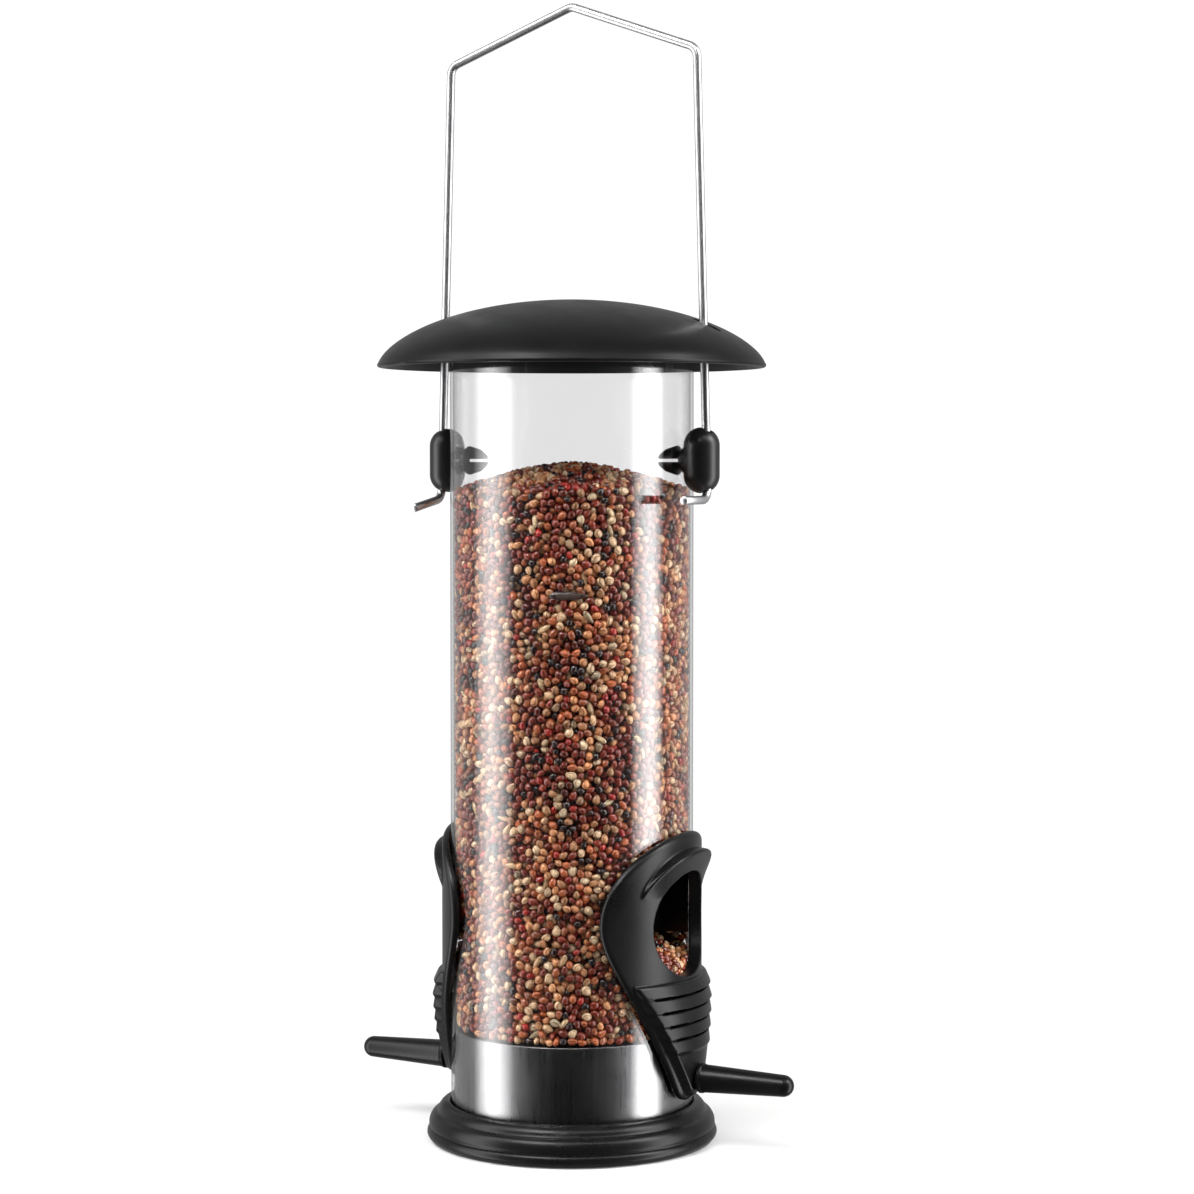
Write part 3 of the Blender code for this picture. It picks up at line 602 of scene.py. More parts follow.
LID_WALL, LID_LIP = 1.6, 0.62
LID_POWER = 0.6  # 0.5 would be half an ellipse
RING_OUT, RING_IN, RING_DEPTH = 29.7, 28.3, 3.4  # the ring that centres the lid in the tube
PAD_END, PAD_HALF = 32.2, 3
SLOT_NEAR, SLOT_FAR, SLOT_HALF = 34.1, 42.2, 1.6
SLOT_FROM_Z, SLOT_HEIGHT = 195.0, 40


def build_lid(material):
    """A domed shell with a rolled rim, a ring that centres it in the tube, pads and a slot for each leg."""
    low, high = span("lid_dome")
    rim, rise, floor = high.x, high.z - low.z, low.z

    def outer(radius):
        return (radius, floor + rise * max(0.0, 1 - (radius / rim) ** 2) ** LID_POWER)

    def inner(radius):
        return (radius, outer(min(radius * rim / (rim - LID_WALL), rim))[1] - LID_WALL)

    angles = np.linspace(0, 84, 44)
    top = [outer(rim * sin(radians(a))) for a in angles]
    lip = arc((rim - LID_LIP, floor + LID_LIP), (LID_LIP, LID_LIP), 18, -90, 9)
    under = [inner(rim * f) for f in np.linspace(0.955, 0.6, 14)]
    ring_foot, ease = span("tube")[1].z - RING_DEPTH, 0.3
    ring = [
        inner(RING_OUT), (RING_OUT, ring_foot + ease), (RING_OUT - ease, ring_foot),
        (RING_IN + ease, ring_foot), (RING_IN, ring_foot + ease), inner(RING_IN),
    ]
    ceiling = [inner(f) for f in np.linspace(25, 0, 12)]
    inward = (rim - LID_WALL - 0.1, floor)
    profile = [*top, *lip, inward, (rim - LID_WALL - 0.35, floor + 0.3), *under, *ring, *ceiling]
    joined, cuts = [], []
    for side in (-1, 1):
        near, far = sorted((side * (tube_bore() - 2.0), side * PAD_END))
        seat_top = outer(PAD_END)[1] - LID_WALL / 2
        joined.append(block((near, -PAD_HALF, span("tube")[1].z + GAP), (far, PAD_HALF, seat_top)))
        cuts.append(lid_slot(side))
    mesh = carve(lathe(profile), joined, cuts)
    settle("lid_shell", mesh, "lid_dome", material, sharp=40)


def lid_slot(side):
    """A slot with round ends, through the dome."""
    radii = (SLOT_HALF, SLOT_HALF)
    far = arc((SLOT_FAR - SLOT_HALF, 0), radii, -90, 90, 12)
    near = arc((SLOT_NEAR + SLOT_HALF, 0), radii, 90, 270, 12)
    return prism([(side * x, y, SLOT_FROM_Z) for x, y in far + near], (0, 0, SLOT_HEIGHT))


# ---- knobs

PIN_RADIUS, PIN_BARB = 2.4, 3.8
PIN_SPLIT = 0.4  # half the gap between the pin's prongs
WIRE_BORE = 1.7


def build_knobs(material):
    """A capsule bored for the wire, with a split, barbed snap pin that turns in the tube's wall."""
    low, high = span("wire_knob_right")
    radius, height = high.y, middle_z("wire_knob_right")
    centre_x, half = high.x - radius, (high.z - low.z) / 2 - radius
    caps = arc((0, height + half), (radius, radius), 90, 0, 16)
    caps += arc((0, height - half), (radius, radius), 0, -90, 16)
    caps[0] = (0, caps[0][1])
    caps[-1] = (0, caps[-1][1])
    capsule = lathe(caps, 64)
    bmesh.ops.translate(capsule, verts=capsule.verts, vec=(centre_x, 0, 0))
    wall, flange, root = tube_bore(), TUBE_RADIUS + GAP, centre_x - 2
    pin = [
        (0, low.x), (1.5, low.x), (2.9, low.x + 1.9), (PIN_BARB, wall - 1.0), (PIN_BARB, wall - 0.6),
        (PIN_RADIUS, wall - 0.3), (PIN_RADIUS, flange), (3.4, flange), (3.4, root), (0, root),
    ]
    pin = along_x(lathe(pin, 48), height)
    split = block((low.x - 1, -7, height - PIN_SPLIT), (TUBE_RADIUS - 0.5, 7, height + PIN_SPLIT))
    cross = block((low.x - 1, -PIN_SPLIT, height - 7), (TUBE_RADIUS - 4.2, PIN_SPLIT, height + 7))
    top, foot = height + 20, height - 20
    bore = lathe([(0, top), (WIRE_BORE, top), (WIRE_BORE, foot), (0, foot)], 32)
    bmesh.ops.translate(bore, verts=bore.verts, vec=(wire_at(height), 0, 0))
    mesh = carve(capsule, [pin], [split, cross, bore], voxel=0.16, smooth=3)
    settle_pair("knob", mesh, "wire_knob", material, sharp=180)


# ---- ports

PORT_FRONT = 2.3  # the plate's face, outside the tube's surface
WRAP_RADIUS = 32.4  # a width on the flat plate is an arc at this radius
PORT_WIDEST, PORT_WIDEST_Z = 29.3, 60.0
TAIL_RADIUS, TAIL_Z = 7.4, 20.0
OPENING_Z = 58.5
OPENING_HALF = (14.9, 13.6)
SLEEVE_HALF = (15.9, 14.6)  # of the collar round the opening that stands in the tube's wall
HOOD_RADIUS, HOOD_PROUD, HOOD_ENDS = 19.4, 5.7, 24.0
HOOD_STRETCH = 1.09  # how much wider the hood is than it is high
BULGE_TOP, BULGE_FULL = 44.4, 37.0  # the tail's raised face starts at a ledge and is full lower down
BULGE_INSET, BULGE_FLANK = 0.6, 2.6
BULGE_LEDGE, BULGE_FACE, BULGE_CROWN = 3.2, 4.3, 0.5
BULGE_FOOT = ((0.8, 1.3), (1.3, 2.6), (2.0, 3.4), (2.7, 3.95), (3.4, BULGE_FACE))  # rise, how far out
SLIT_COUNT, SLIT_FIRST_Z, SLIT_PITCH, SLIT_ROOM, SLIT_INSET = 4, 41.0, 3.7, 0.38, 2.0
LOUVRE_LEAN, LOUVRE_EDGE = 0.55, 0.42


def teardrop():
    """The port's outline on the flat, as (across, height): half an ellipse over a tapering tail."""
    steps = 40
    top_z = span("port_right")[1].z
    top = arc((0, PORT_WIDEST_Z), (PORT_WIDEST, top_z - PORT_WIDEST_Z), 0, 180, 2 * steps)
    lean = 31.0
    start = arc((0, TAIL_Z), (TAIL_RADIUS, TAIL_RADIUS), -lean, 0, 1)[0]
    end = (PORT_WIDEST, PORT_WIDEST_Z)
    side = [start, *bezier(start, (start[0] + 15.7, start[1] + 27.2), (end[0], end[1] - 8), end, steps)]
    tail = arc((0, TAIL_Z), (TAIL_RADIUS, TAIL_RADIUS), 180 + lean, 360 - lean, 16)[1:-1]
    return top + [(-s, z) for s, z in reversed(side)] + tail + side


def half_width_at(height):
    side = sorted((z, s) for s, z in teardrop() if s > 0 and z < PORT_WIDEST_Z)
    return float(np.interp(height, [z for z, s in side], [s for z, s in side]))


def port_plate():
    """The flat plate, its front edge rounded by stepping the outline in."""
    outline = np.array(teardrop())
    ahead = np.roll(outline, -1, 0) - np.roll(outline, 1, 0)
    normal = np.stack([ahead[:, 1], -ahead[:, 0]], 1) / lengths(ahead)[:, None]
    fillet = 1.35
    rings = [[(GAP, s, z) for s, z in outline]]
    for angle in np.radians(np.linspace(0, 90, 7)):
        inset = outline - normal * fillet * (1 - cos(angle))
        out = PORT_FRONT - fillet + fillet * sin(angle)
        rings.append([(out, s, z) for s, z in inset])
    return loft(rings)


def port_hood():
    """A brow round the top of the opening: a ridge, steep outside, that slopes into the opening."""
    rings = []
    steps = 48
    sunk, mouth, ridge = PORT_FRONT - 0.4, OPENING_HALF[1] - 0.6, HOOD_RADIUS - 0.6
    for i in range(steps + 1):
        angle = radians(HOOD_ENDS + (180 - 2 * HOOD_ENDS) * i / steps)
        crown = max(0.0, sin(pi * i / steps)) ** 0.7
        proud = sunk + (HOOD_PROUD - sunk) * crown
        edge = sunk + 0.5 * crown
        section = [(mouth, 1.0), (mouth, edge)]
        for t in (0.3, 0.6, 0.85):
            rise = (proud - sunk - 0.5 * crown) * t**1.25
            section.append((mouth + (ridge - mouth) * t, edge + rise))
        section += [(ridge, proud), (ridge + 0.35, proud - 0.12), (HOOD_RADIUS, proud - 0.5),
                    (HOOD_RADIUS + 0.5, 1.0)]
        across, up = HOOD_STRETCH * cos(angle), sin(angle)
        rings.append([(out, reach * across, OPENING_Z + reach * up) for reach, out in section])
    return loft(rings)


def bulge_ring(height, edge_out):
    """A level section of the tail's raised face: two sloping flanks and a slightly crowned front."""
    foot = half_width_at(height) - BULGE_INSET
    face = max(foot - BULGE_FLANK, foot / 10)
    front = [(edge_out + BULGE_CROWN * (1 - f * f), face * f, height) for f in np.linspace(-1, 1, 17)]
    return [(1.0, foot, height), (1.0, -foot, height), *front]


def bulge_out(height):
    """How far the edges of the raised face stand outside the tube, leaving the louvres out."""
    share = min(1.0, (BULGE_TOP - height) / (BULGE_TOP - BULGE_FULL))
    return BULGE_LEDGE + (BULGE_FACE - BULGE_LEDGE) * sin(share * pi / 2)


def port_bulge():
    """The raised face, from its round lower end up to the ledge, with a step under each louvre."""
    low = TAIL_Z - TAIL_RADIUS
    levels = [(low + rise, out) for rise, out in BULGE_FOOT]
    levels += [(height, BULGE_FACE) for height in np.linspace(TAIL_Z - 2, TAIL_Z + 4, 5)]
    for i in reversed(range(SLIT_COUNT + 1)):
        middle = SLIT_FIRST_Z - i * SLIT_PITCH
        levels.append((middle - LOUVRE_EDGE, bulge_out(middle)))
        levels.append((middle + LOUVRE_EDGE, bulge_out(middle) + LOUVRE_LEAN))
    levels += [(BULGE_TOP - 0.3, BULGE_LEDGE + 0.05), (BULGE_TOP, BULGE_LEDGE - 0.25)]
    return loft([bulge_ring(height, out) for height, out in levels])


def port_slit(height):
    """The gap under a louvre, through the plate."""
    half = half_width_at(height) - BULGE_INSET - BULGE_FLANK - SLIT_INSET
    return block((0, -half, height - SLIT_ROOM), (9, half, height + SLIT_ROOM))


def port_sleeve():
    """The collar that lines the hole in the tube's wall."""
    outline = arc((0, OPENING_Z), SLEEVE_HALF, 0, 356, 89)
    return prism([(tube_bore() - GAP - TUBE_RADIUS, s, z) for s, z in outline], (1.6 + GAP, 0, 0))


def wrapped(mesh):
    """The flat port bent round the tube."""
    flat = np.empty(len(mesh.vertices) * 3, np.float32)
    mesh.vertices.foreach_get("co", flat)
    out, across, height = flat.reshape(-1, 3).astype(float).T
    radius, angle = TUBE_RADIUS + out, across / WRAP_RADIUS
    bent = np.stack([radius * np.cos(angle), radius * np.sin(angle), height], 1)
    put(mesh.vertices, "co", bent)
    mesh.update()
    return mesh


def build_ports(material):
    hole = arc((0, OPENING_Z), OPENING_HALF, 0, 356, 89)
    cuts = [prism([(-3, s, z) for s, z in hole], (26, 0, 0)), perch_hole(40)]
    cuts += [port_slit(SLIT_FIRST_Z - i * SLIT_PITCH) for i in range(SLIT_COUNT)]
    added = [port_sleeve(), port_hood(), port_bulge()]
    mesh = wrapped(carve(port_plate(), added, cuts, voxel=0.25, smooth=3))
    settle_pair("port_shell", mesh, "port", material, sharp=180)


def build_scoops(material):
    """The frame's scoops with moulded edges."""
    for word in ("right", "left"):
        node = f"port_scoop_{word}"
        source = frame["nodes"][node].data.copy()
        source.transform(Matrix.Scale(1 / MM, 4) @ Matrix.Translation((0, 0, -FOOT_Z)))
        bm = bmesh.new()
        bm.from_mesh(source)
        bmesh.ops.remove_doubles(bm, verts=bm.verts, dist=1e-4)
        settle(f"scoop_{word}", carve(bm, voxel=0.3, smooth=4), node, material, sharp=180)


# ---- seed

SEED_DEPTH = 3.7  # thickness of the modelled layer
SEED_DENSITY = 0.63
MOUND_POWER = 1.6
SEED_LIP_Z = 46.2  # height of the seed where a bay's slope would leave the tube
BAY_END_X = 34.9
SEED_KINDS = (
    # share, colour, half length, half width, half thickness
    (0.31, (0.215, 0.030, 0.014), 1.27, 0.94, 0.82),
    (0.20, (0.430, 0.110, 0.036), 1.30, 0.95, 0.83),
    (0.19, (0.620, 0.285, 0.120), 1.25, 0.98, 0.83),
    (0.12, (0.860, 0.590, 0.340), 1.32, 1.03, 0.88),
    (0.10, (0.024, 0.011, 0.010), 1.08, 0.87, 0.78),
    (0.05, (0.360, 0.020, 0.012), 1.15, 0.90, 0.80),
    (0.03, (0.760, 0.530, 0.290), 1.90, 0.76, 0.66),
)
DARK_KIND = 4  # the near-black one
PATCH_SIZE, PATCH_STRENGTH, PATCH_WAVES = 5.0, 0.45, 12
SEED_TRIALS, SEED_ROUNDS, QUICK_ROUNDS = 400000, 160, 40
SEED_REACH = 3.0  # seeds with middles further apart than this do not touch
SEED_PUSH = 0.32  # share of an overlap that each seed gives way by in a round
LYING_DEPTH = 1.9  # seeds nearer the wall than this lie flat against it
OUTER_DEPTH = 2.1  # seeds nearer the outside than this are drawn finer
OUTER_BANDS, INNER_BANDS = 7, 3
LONG_SEED_Z, LONG_SEED_COLOUR, LONG_SEED_ROOM = 143.6, (0.085, 0.060, 0.052), 1.0


def seed_bed():
    """The seed mass and its bays."""
    low, high = span("seed_fill")
    scoop_low, scoop_high = span("port_scoop_right")
    bed = SimpleNamespace(wall=high.x, floor=low.z, crest=high.z, fall=7.0)
    bed.bay_x, bed.bay_floor = scoop_low.x - GAP, scoop_low.z - GAP
    bed.bay_half, bed.bay_top = scoop_high.y + GAP, scoop_high.z + GAP
    bed.slope = (bed.bay_floor - SEED_LIP_Z) / (BAY_END_X - bed.bay_x)
    return bed


BED = seed_bed()


def mound_height(radius):
    return BED.crest - BED.fall * (radius / BED.wall) ** MOUND_POWER


def slope_height(x):
    return BED.bay_floor - BED.slope * (np.abs(x) - BED.bay_x)


def seed_depth(points):
    """Depth of each point under the wall, the mound and, below a bay, its slope. In a bay it is negative."""
    x, y, z = points.T
    radius = np.hypot(x, y)
    depth = np.minimum(BED.wall - radius, mound_height(radius) - z)
    over = (np.abs(x) > BED.bay_x) & (np.abs(y) < BED.bay_half) & (z < BED.bay_top)
    slope = slope_height(x) - z
    return np.where(over, np.where(slope < 0, np.maximum(slope, -1.0), np.minimum(depth, slope)), depth)


def lengths(vectors):
    """The length of each row."""
    return np.linalg.norm(vectors, axis=1)


def neighbour_pairs(points, reach):
    """Index pairs of points nearer than the reach, found through a grid of cells."""
    cell = np.floor((points - points.min(0)) / reach).astype(np.int64) + 1
    size = cell.max(0) + 2
    key = (cell[:, 0] * size[1] + cell[:, 1]) * size[2] + cell[:, 2]
    order = np.argsort(key, kind="stable")
    ordered = key[order]
    firsts, seconds = [], []
    for a, b, c in product((-1, 0, 1), repeat=3):
        if (a, b, c) < (0, 0, 0):
            continue
        wanted = key + (a * size[1] + b) * size[2] + c
        start = np.searchsorted(ordered, wanted, "left")
        count = np.searchsorted(ordered, wanted, "right") - start
        for k in range(count.max()):
            first = np.nonzero(count > k)[0]
            second = order[start[first] + k]
            if (a, b, c) == (0, 0, 0):
                first, second = first[first < second], second[first < second]
            firsts.append(first)
            seconds.append(second)
    first, second = np.concatenate(firsts), np.concatenate(seconds)
    near = lengths(points[first] - points[second]) < reach
    return first[near], second[near]


def seed_axes(rng, points, depth):
    """Each seed's long, broad and thin directions, as the columns of a matrix."""
    count = len(points)
    thin = rng.normal(size=(count, 3))
    out = points * (1, 1, 0)
    out /= lengths(out)[:, None]
    flat = depth < LYING_DEPTH
    thin[flat] = out[flat] + 0.38 * thin[flat]
    thin /= lengths(thin)[:, None]
    long = rng.normal(size=(count, 3))
    long -= (long * thin).sum(1)[:, None] * thin
    long /= lengths(long)[:, None]
    return np.stack([long, np.cross(thin, long), thin], 2)


def along(axes, sizes, direction):
    """How far each ellipsoid reaches in a direction: to a wall square to it, and along the line."""
    local = np.einsum("nij,ni->nj", axes, direction)
    wall = np.sqrt(((local * sizes) ** 2).sum(1))
    line = 1 / np.sqrt(((local / sizes) ** 2).sum(1))
    return wall, line


def seed_kinds(rng, points, shares):
    """A kind for each seed. Darker and paler ones lie in loose patches, as poured seed does."""
    waves = rng.normal(0, 1 / PATCH_SIZE, (PATCH_WAVES, 3))
    phases = rng.uniform(0, tau, PATCH_WAVES)
    patch = np.sin(points @ waves.T + phases).sum(1) / sqrt(PATCH_WAVES / 2)
    pull = np.array([1 if max(entry[1]) < 0.4 else -1 for entry in SEED_KINDS])
    weights = shares * np.exp(PATCH_STRENGTH * patch[:, None] * pull)
    steps = (weights / weights.sum(1)[:, None]).cumsum(1)
    return (rng.random((len(points), 1)) > steps[:, :-1]).sum(1)


def pack_seeds(rng, rounds):
    """Seeds as ellipsoids, scattered through the outer layer and pushed apart until they pack."""
    trial = rng.uniform(-1, 1, (SEED_TRIALS, 3)) * (BED.wall, BED.wall, 0.5)
    trial[:, 2] = BED.floor + (trial[:, 2] + 0.5) * (BED.crest - BED.floor)
    room = 4 * BED.wall**2 * (BED.crest - BED.floor) / len(trial)
    depth = seed_depth(trial)
    inside = trial[(depth > 0.6) & (depth < SEED_DEPTH)]
    volume = room * ((depth > 0) & (depth < SEED_DEPTH)).sum()
    shares = np.array([kind[0] for kind in SEED_KINDS])
    sizes_of = np.array([kind[2:] for kind in SEED_KINDS])
    mean_volume = (shares * sizes_of.prod(1)).sum() / shares.sum() * 4 / 3 * pi
    count = int(SEED_DENSITY * volume / mean_volume)
    points = inside[rng.permutation(len(inside))[:count]]
    kind = seed_kinds(rng, points, shares)
    growth = rng.normal(1.0, 0.07, (count, 1)).clip(0.82, 1.2)
    sizes = sizes_of[kind] * growth * rng.uniform(0.95, 1.05, (count, 3))
    special = long_seed()
    points[0], kind[0], sizes[0] = special.place, DARK_KIND, special.sizes
    axes = seed_axes(rng, points, seed_depth(points))
    axes[0] = special.axes
    for step in range(rounds):
        if step == rounds // 3:
            axes = seed_axes(rng, points, seed_depth(points))
            axes[0] = special.axes
        if step % 4 == 0:
            first, second = neighbour_pairs(points, SEED_REACH)
        apart = points[second] - points[first]
        distance = lengths(apart) + 1e-9
        direction = apart / distance[:, None]
        reach = [along(axes[i], sizes[i], direction)[1] for i in (first, second)]
        push = direction * (SEED_PUSH * np.clip(reach[0] + reach[1] - distance, 0, None))[:, None]
        points += np.stack([
            np.bincount(second, push[:, k], count) - np.bincount(first, push[:, k], count) for k in range(3)
        ], 1)
        away = points - special.place
        gap = lengths(away) + 1e-9
        same_axes = np.repeat(special.axes[None], count, 0)
        line = along(same_axes, special.sizes, away / gap[:, None])[1] + LONG_SEED_ROOM
        close = np.nonzero(gap < line)[0]
        points[close] += (away[close] / gap[close, None]) * (line - gap)[close, None]
        points[0] = special.place
        hold_in(points, axes, sizes)
    return points, axes, sizes, kind


def long_seed():
    """One long dark seed that lies flat against the wall at the front."""
    out = np.array([sin(CAMERA_AZIMUTH), -cos(CAMERA_AZIMUTH), 0.0])
    across = np.array([cos(CAMERA_AZIMUTH), sin(CAMERA_AZIMUTH), 0.0])
    sizes = np.array([5.1, 1.2, 0.75])
    centre = out * (BED.wall - 0.85) - 0.9 * across + np.array([0, 0, LONG_SEED_Z])
    return SimpleNamespace(place=centre, sizes=sizes, axes=np.stack([across, np.cross(out, across), out], 1))


def hold_in(points, axes, sizes):
    """Moves seeds back inside the wall, the floor and the mound, and out of the bays and the middle."""
    x, y, z = points.T  # views, so moving z moves the points
    out = points * (1, 1, 0)
    radius = lengths(out) + 1e-9
    out /= radius[:, None]
    up = np.zeros_like(points)
    up[:, 2] = 1
    reach_out, reach_up = along(axes, sizes, out)[0], along(axes, sizes, up)[0]
    over = np.clip(radius + reach_out - BED.wall, 0, None)
    inward = BED.wall - radius
    under_top = mound_height(radius) - z
    deep = np.clip(np.minimum(inward, under_top) - SEED_DEPTH, 0, None)
    in_bay = (np.abs(x) > BED.bay_x - 0.8) & (np.abs(y) < BED.bay_half + 0.8) & (z < BED.bay_top + 0.8)
    slope_depth = slope_height(x) - z
    under_bay = in_bay & (slope_depth > -1.5) & (slope_depth < SEED_DEPTH + 3)
    deep[under_bay] = 0
    outward = inward < under_top
    points += out * (np.where(outward, deep, 0) * 0.5 - over)[:, None]
    z += np.where(outward, 0, deep) * 0.5
    z -= np.clip(z + reach_up - mound_height(radius) - 0.6, 0, None)
    z += np.clip(BED.floor + reach_up - z, 0, None)
    lower = under_bay & (slope_depth < reach_up)
    z[lower] -= (reach_up - slope_depth)[lower] * 0.6
    sunk = under_bay & (slope_depth > SEED_DEPTH) & (inward > SEED_DEPTH)
    z[sunk] += (slope_depth - SEED_DEPTH)[sunk] * 0.5
    blocked = in_bay & (slope_depth <= -1.5)
    side_gap = BED.bay_half + 0.9 - np.abs(y)
    top_gap = BED.bay_top + 0.9 - z
    sideways = blocked & (side_gap < top_gap)
    y[sideways] += (np.sign(y) * side_gap)[sideways]
    raised = blocked & ~sideways
    z[raised] += top_gap[raised]


def seed_shape(segments, rows):
    """A unit sphere as points and faces, with its poles on X, which is a seed's length."""
    polar = np.linspace(0, pi, rows + 1)[1:-1]
    turns = np.linspace(0, tau, segments, endpoint=False)
    points = [(1.0, 0.0, 0.0)]
    for a in polar:
        points += [(cos(a), sin(a) * cos(t), sin(a) * sin(t)) for t in turns]
    points.append((-1.0, 0.0, 0.0))
    faces = [(0, 1 + i, 1 + (i + 1) % segments) for i in range(segments)]
    for ring in range(rows - 2):
        near, far = 1 + ring * segments, 1 + (ring + 1) * segments
        for i in range(segments):
            j = (i + 1) % segments
            faces.append((near + i, far + i, far + j, near + j))
    end, last = len(points) - 1, 1 + (rows - 2) * segments
    faces += [(end, last + (i + 1) % segments, last + i) for i in range(segments)]
    return np.array(points), faces


def seeds_mesh(name, shape, points, axes, sizes, colours):
    """One mesh of many seeds. Each vertex knows its seed's colour and where on the seed it lies."""
    unit, faces = shape
    count, each = len(points), len(unit)
    drawn = unit.copy()
    drawn[:, 1:] *= (1 - 0.24 * unit[:, :1]) * (1 - 0.12 * unit[:, :1] ** 4)
    world = np.einsum("nij,nkj->nki", axes, drawn[None] * sizes[:, None, :]) + points[:, None, :]
    corners = np.array([len(face) for face in faces])
    flat = np.concatenate([np.array(face) for face in faces])
    index = np.arange(count)[:, None]
    loops = (index * each + flat[None]).ravel()
    starts = (index * len(flat) + np.concatenate([[0], corners.cumsum()[:-1]])[None]).ravel()
    mesh = bpy.data.meshes.new(name)
    mesh.vertices.add(count * each)
    put(mesh.vertices, "co", world)
    mesh.loops.add(len(loops))
    put(mesh.loops, "vertex_index", loops, np.int32)
    mesh.polygons.add(len(starts))
    put(mesh.polygons, "loop_start", starts, np.int32)
    mesh.update(calc_edges=True)
    tint = mesh.attributes.new("seed_colour", "FLOAT_COLOR", "POINT")
    rgba = np.concatenate([colours, np.ones((count, 1))], 1)
    put(tint.data, "color", np.repeat(rgba, each, 0))
    where = mesh.attributes.new("on_seed", "FLOAT_VECTOR", "POINT")
    put(where.data, "vector", np.tile(unit, (count, 1)))
    return mesh


def seed_colours(rng, kind):
    """Each seed's own colour: its kind's, a little lighter or darker, warmer or cooler."""
    base = np.array([entry[1] for entry in SEED_KINDS])[kind]
    value = rng.normal(1.0, 0.27, (len(kind), 1)).clip(0.4, 1.6)
    warmth = rng.normal(0.0, 0.07, (len(kind), 1)) * np.array([[0.5, -0.4, -1.0]])
    colours = base * value * (1 + warmth)
    return (colours * np.minimum(1, 0.88 / colours.max(1))[:, None]).clip(0.003)


def build_seed(coat, depths):
    """The seed in level bands of whole seeds, and a mass painted dark as shade behind them."""
    rng = np.random.default_rng(7)
    points, axes, sizes, kind = pack_seeds(rng, SEED_ROUNDS)
    colours = seed_colours(rng, kind)
    colours[0] = LONG_SEED_COLOUR
    outer = seed_depth(points) < OUTER_DEPTH
    height = points[:, 2]
    for word, layer, bands, shape in (
        ("outer", outer, OUTER_BANDS, seed_shape(12, 7)),
        ("inner", ~outer, INNER_BANDS, seed_shape(8, 5)),
    ):
        band = np.searchsorted(np.quantile(height, np.linspace(0, 1, bands + 1)[1:-1]), height)
        for i in range(bands):
            chosen, name = layer & (band == i), f"seeds_{word}_{i + 1}"
            mesh = seeds_mesh(name, shape, points[chosen], axes[chosen], sizes[chosen], colours[chosen])
            settle(name, mesh, "seed_fill", coat, sharp=180)
    settle("seed_core", core_mesh(), "seed_fill", depths)


def core_mesh():
    """The deep middle of the seed, inside every modelled layer."""
    wall = BED.wall - SEED_DEPTH - 0.1
    mound = [(wall * f, mound_height(wall * f) - SEED_DEPTH - 0.3) for f in np.linspace(0, 1, 12)]
    solid = lathe([*mound, (wall, BED.floor + 0.2), (0, BED.floor + 0.2)], 96)
    cuts = []
    near, far, top, half = BED.bay_x - 0.1, 36, BED.bay_top + 0.1, BED.bay_half + 0.1
    outline = [(near, BED.bay_floor - SEED_DEPTH - 0.4), (near, top), (far, top),
               (far, slope_height(far) - SEED_DEPTH - 0.4)]
    for side in (-1, 1):
        cuts.append(prism([(side * x, -half, z) for x, z in outline], (0, 2 * half, 0)))
    return carve(solid, cut=cuts)


# ---- stage

CAMERA_AZIMUTH = radians(26.0)
CAMERA_DISTANCE = 0.776
CAMERA_HEIGHT = 0.177  # above the foot
CAMERA_TILT = radians(2.58)
CAMERA_PAN = radians(0.485)
CAMERA_LENS = 89.6
BACKGROUND = 1.06  # a little over white, so that no noise shows in it
FLOOR_RADIUS, FLOOR_DROP = 0.3, 0.0002
FLOOR_FADE = (0.042, 0.10)  # the radii between which the floor clears
FLOOR_CLEAR = 0.15  # how clear it is even under the feeder


def build_camera():
    data = bpy.data.cameras.new("camera")
    data.lens = CAMERA_LENS
    data.clip_start = 0.02
    camera = placed("camera", data)
    camera.location = (
        CAMERA_DISTANCE * sin(CAMERA_AZIMUTH),
        -CAMERA_DISTANCE * cos(CAMERA_AZIMUTH),
        FOOT_Z + CAMERA_HEIGHT,
    )
    camera.rotation_euler = (pi / 2 - CAMERA_TILT, 0, CAMERA_AZIMUTH - CAMERA_PAN)
    bpy.context.scene.camera = camera


def softbox(name, azimuth, rise, distance, size, radiance, soft=(0.0, 0.0), in_gloss=True):
    """A light that faces the feeder, at an azimuth from the camera's and a rise above the horizontal. It
    has a radiance, and dims over a share of its width at each end."""
    data = bpy.data.lights.new(name, "AREA")
    data.shape = "RECTANGLE"
    data.size, data.size_y = size
    data.energy = pi * size[0] * size[1]
    data.use_nodes = True
    tree = data.node_tree
    across = add(tree, "SeparateXYZ", {0: add(tree, "NewGeometry").outputs["Parametric"]}).outputs["X"]
    left, right = (max(share, 1e-3) for share in soft)
    rising = remap(tree, across, 0.0, left, 0.0, 1.0)
    falling = remap(tree, across, 1.0 - right, 1.0, 1.0, 0.0)
    level = calc(tree, "MULTIPLY", calc(tree, "MULTIPLY", rising, falling), radiance)
    tree.links.new(level, tree.nodes["Emission"].inputs["Strength"])
    light = placed(name, data)
    turn, lift = CAMERA_AZIMUTH + radians(azimuth), radians(rise)
    target = Vector((0, 0, FOOT_Z + 0.15))
    out = Vector((sin(turn) * cos(lift), -cos(turn) * cos(lift), sin(lift)))
    light.location = target + distance * out
    light.rotation_euler = out.to_track_quat("Z", "Y").to_euler()
    light.visible_camera = False
    light.visible_glossy = in_gloss


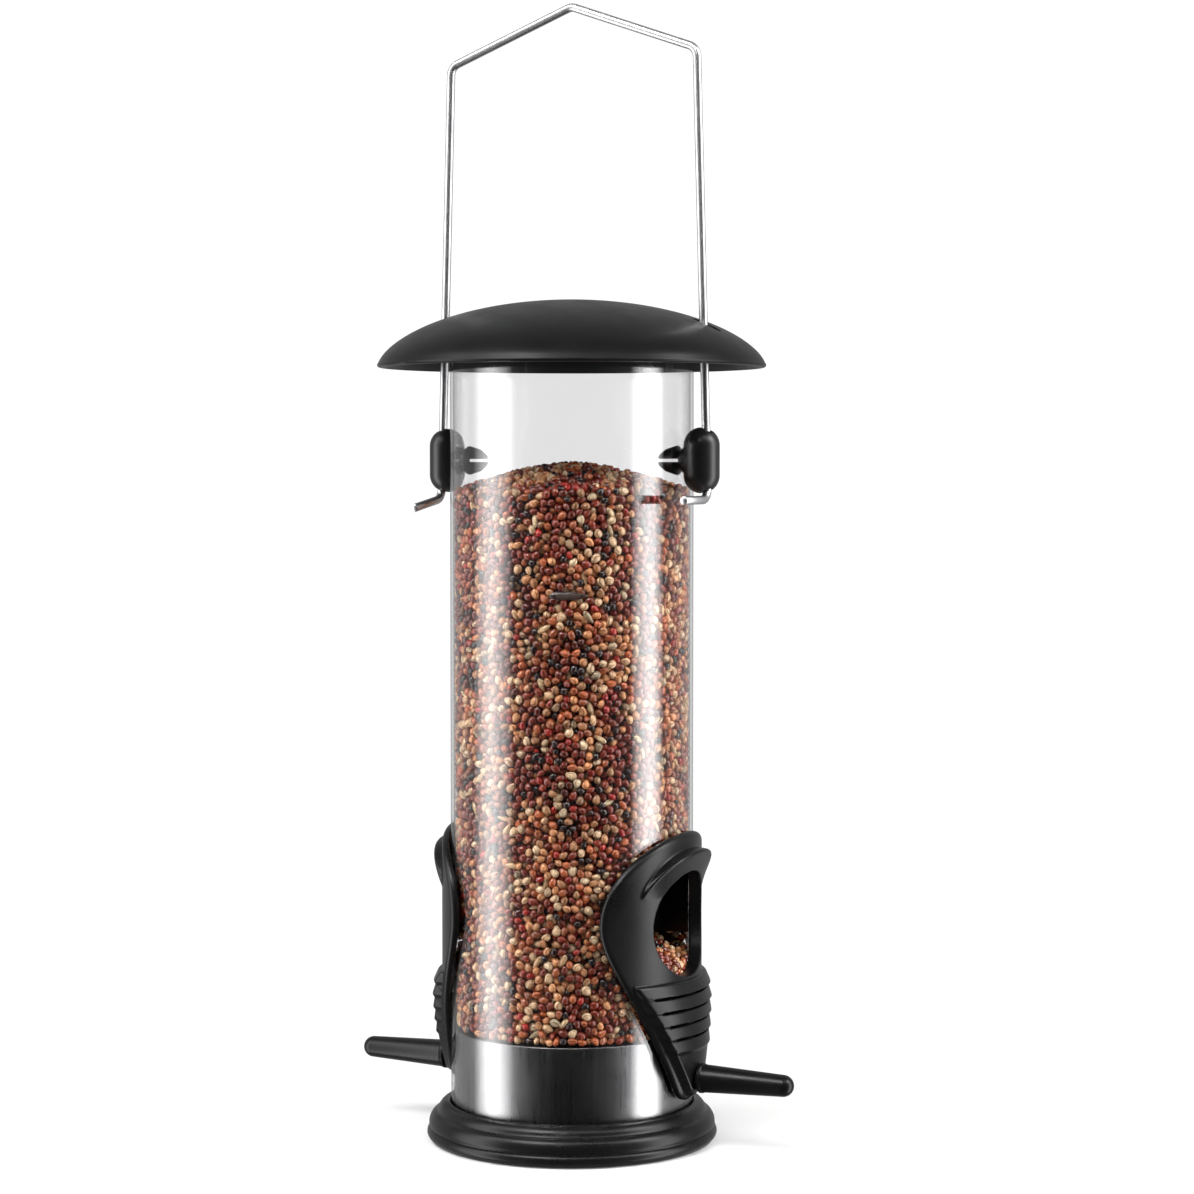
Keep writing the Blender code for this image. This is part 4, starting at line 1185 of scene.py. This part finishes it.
def build_lights():
    softbox("softbox_left", -81, 0, 0.9, (0.80, 2.2), 5.1, (0.45, 0.45))
    softbox("softbox_right", 76, 0, 0.9, (0.62, 2.2), 6.9, (0.45, 0.35))
    softbox("key", -42, 48, 1.1, (0.5, 0.4), 13.0)
    softbox("kicker", 68, 36, 1.1, (0.45, 0.4), 7.0)
    softbox("strip", 0, 52, 1.2, (1.7, 0.10), 11.0)
    softbox("spark", -12, 34, 1.0, (0.06, 0.06), 60.0)
    softbox("fill", 8, 20, 1.3, (0.9, 0.9), 0.6, in_gloss=False)


def build_world():
    """White behind the object. For light and mirrors it is a dim room, darkest on the camera's side."""
    world = bpy.data.worlds.new("studio")
    bpy.context.scene.world = world
    world.use_nodes = True
    tree = world.node_tree
    shader = tree.nodes["Background"]
    direction = add(tree, "TexCoord").outputs["Generated"]
    front = (sin(CAMERA_AZIMUTH), -cos(CAMERA_AZIMUTH), 0.0)
    facing = add(tree, "VectorMath", {0: direction, 1: front}, operation="DOT_PRODUCT").outputs["Value"]
    near = remap(tree, facing, 0.45, 0.93, 0.16, 0.012)
    far = remap(tree, facing, -0.7, 0.45, 0.26, 0.0)
    room = calc(tree, "ADD", near, far)
    seen = add(tree, "LightPath").outputs["Is Camera Ray"]
    level = add(tree, "Mix", {0: seen, 2: room, 3: BACKGROUND}, data_type="FLOAT").outputs[0]
    feed(tree, shader, {"Strength": level, "Color": (1, 1, 1, 1)})


def build_stage_floor():
    """A pale floor under the feeder, which fades into the white background further out."""
    material, tree, shader = new_material("paper_floor")
    feed(tree, shader, {"Roughness": 0.9, "Base Color": (0.9, 0.9, 0.9, 1)})
    place = add(tree, "TexCoord").outputs["Object"]
    distance = add(tree, "VectorMath", {0: place}, operation="LENGTH").outputs["Value"]
    far = remap(tree, distance, *FLOOR_FADE, FLOOR_CLEAR, 1.0)
    blend(tree, far, shader, add(tree, "BsdfTransparent"))
    bm = bmesh.new()
    bmesh.ops.create_circle(bm, cap_ends=True, segments=96, radius=FLOOR_RADIUS)
    mesh = plain(bm)
    mesh.materials.append(material)
    floor = placed("floor", mesh)
    floor.location.z = FOOT_Z - FLOOR_DROP
    floor.visible_glossy = False
    floor.visible_shadow = False


def main():
    black = moulded_black("black_plastic", (0.0048, 0.0048, 0.0052), 0.30, 0.28, 0.005, 0.22)
    # The lid's edge tone of 0.10 is a painted highlight along its rim lip and sharp edges.
    lid_black = moulded_black("black_lid", (0.0042, 0.0042, 0.0046), 0.34, 0.22, 0.003, 0.16, 0.10)
    build_wire(bright_wire())
    build_lid(lid_black)
    build_tube(clear_plastic())
    build_band(brushed_steel())
    build_floor(black)
    build_base(black)
    build_perches(black)
    build_knobs(moulded_black("knob_plastic", (0.0075, 0.0075, 0.008), 0.36, 0.28, 0.006, 0.42))
    build_ports(black)
    build_scoops(black)
    build_seed(seed_coat(), painted_seed_shade())
    build_stage_floor()
    build_lights()
    build_world()
    build_camera()
    bpy.context.scene.view_settings.view_transform = "Standard"


main()
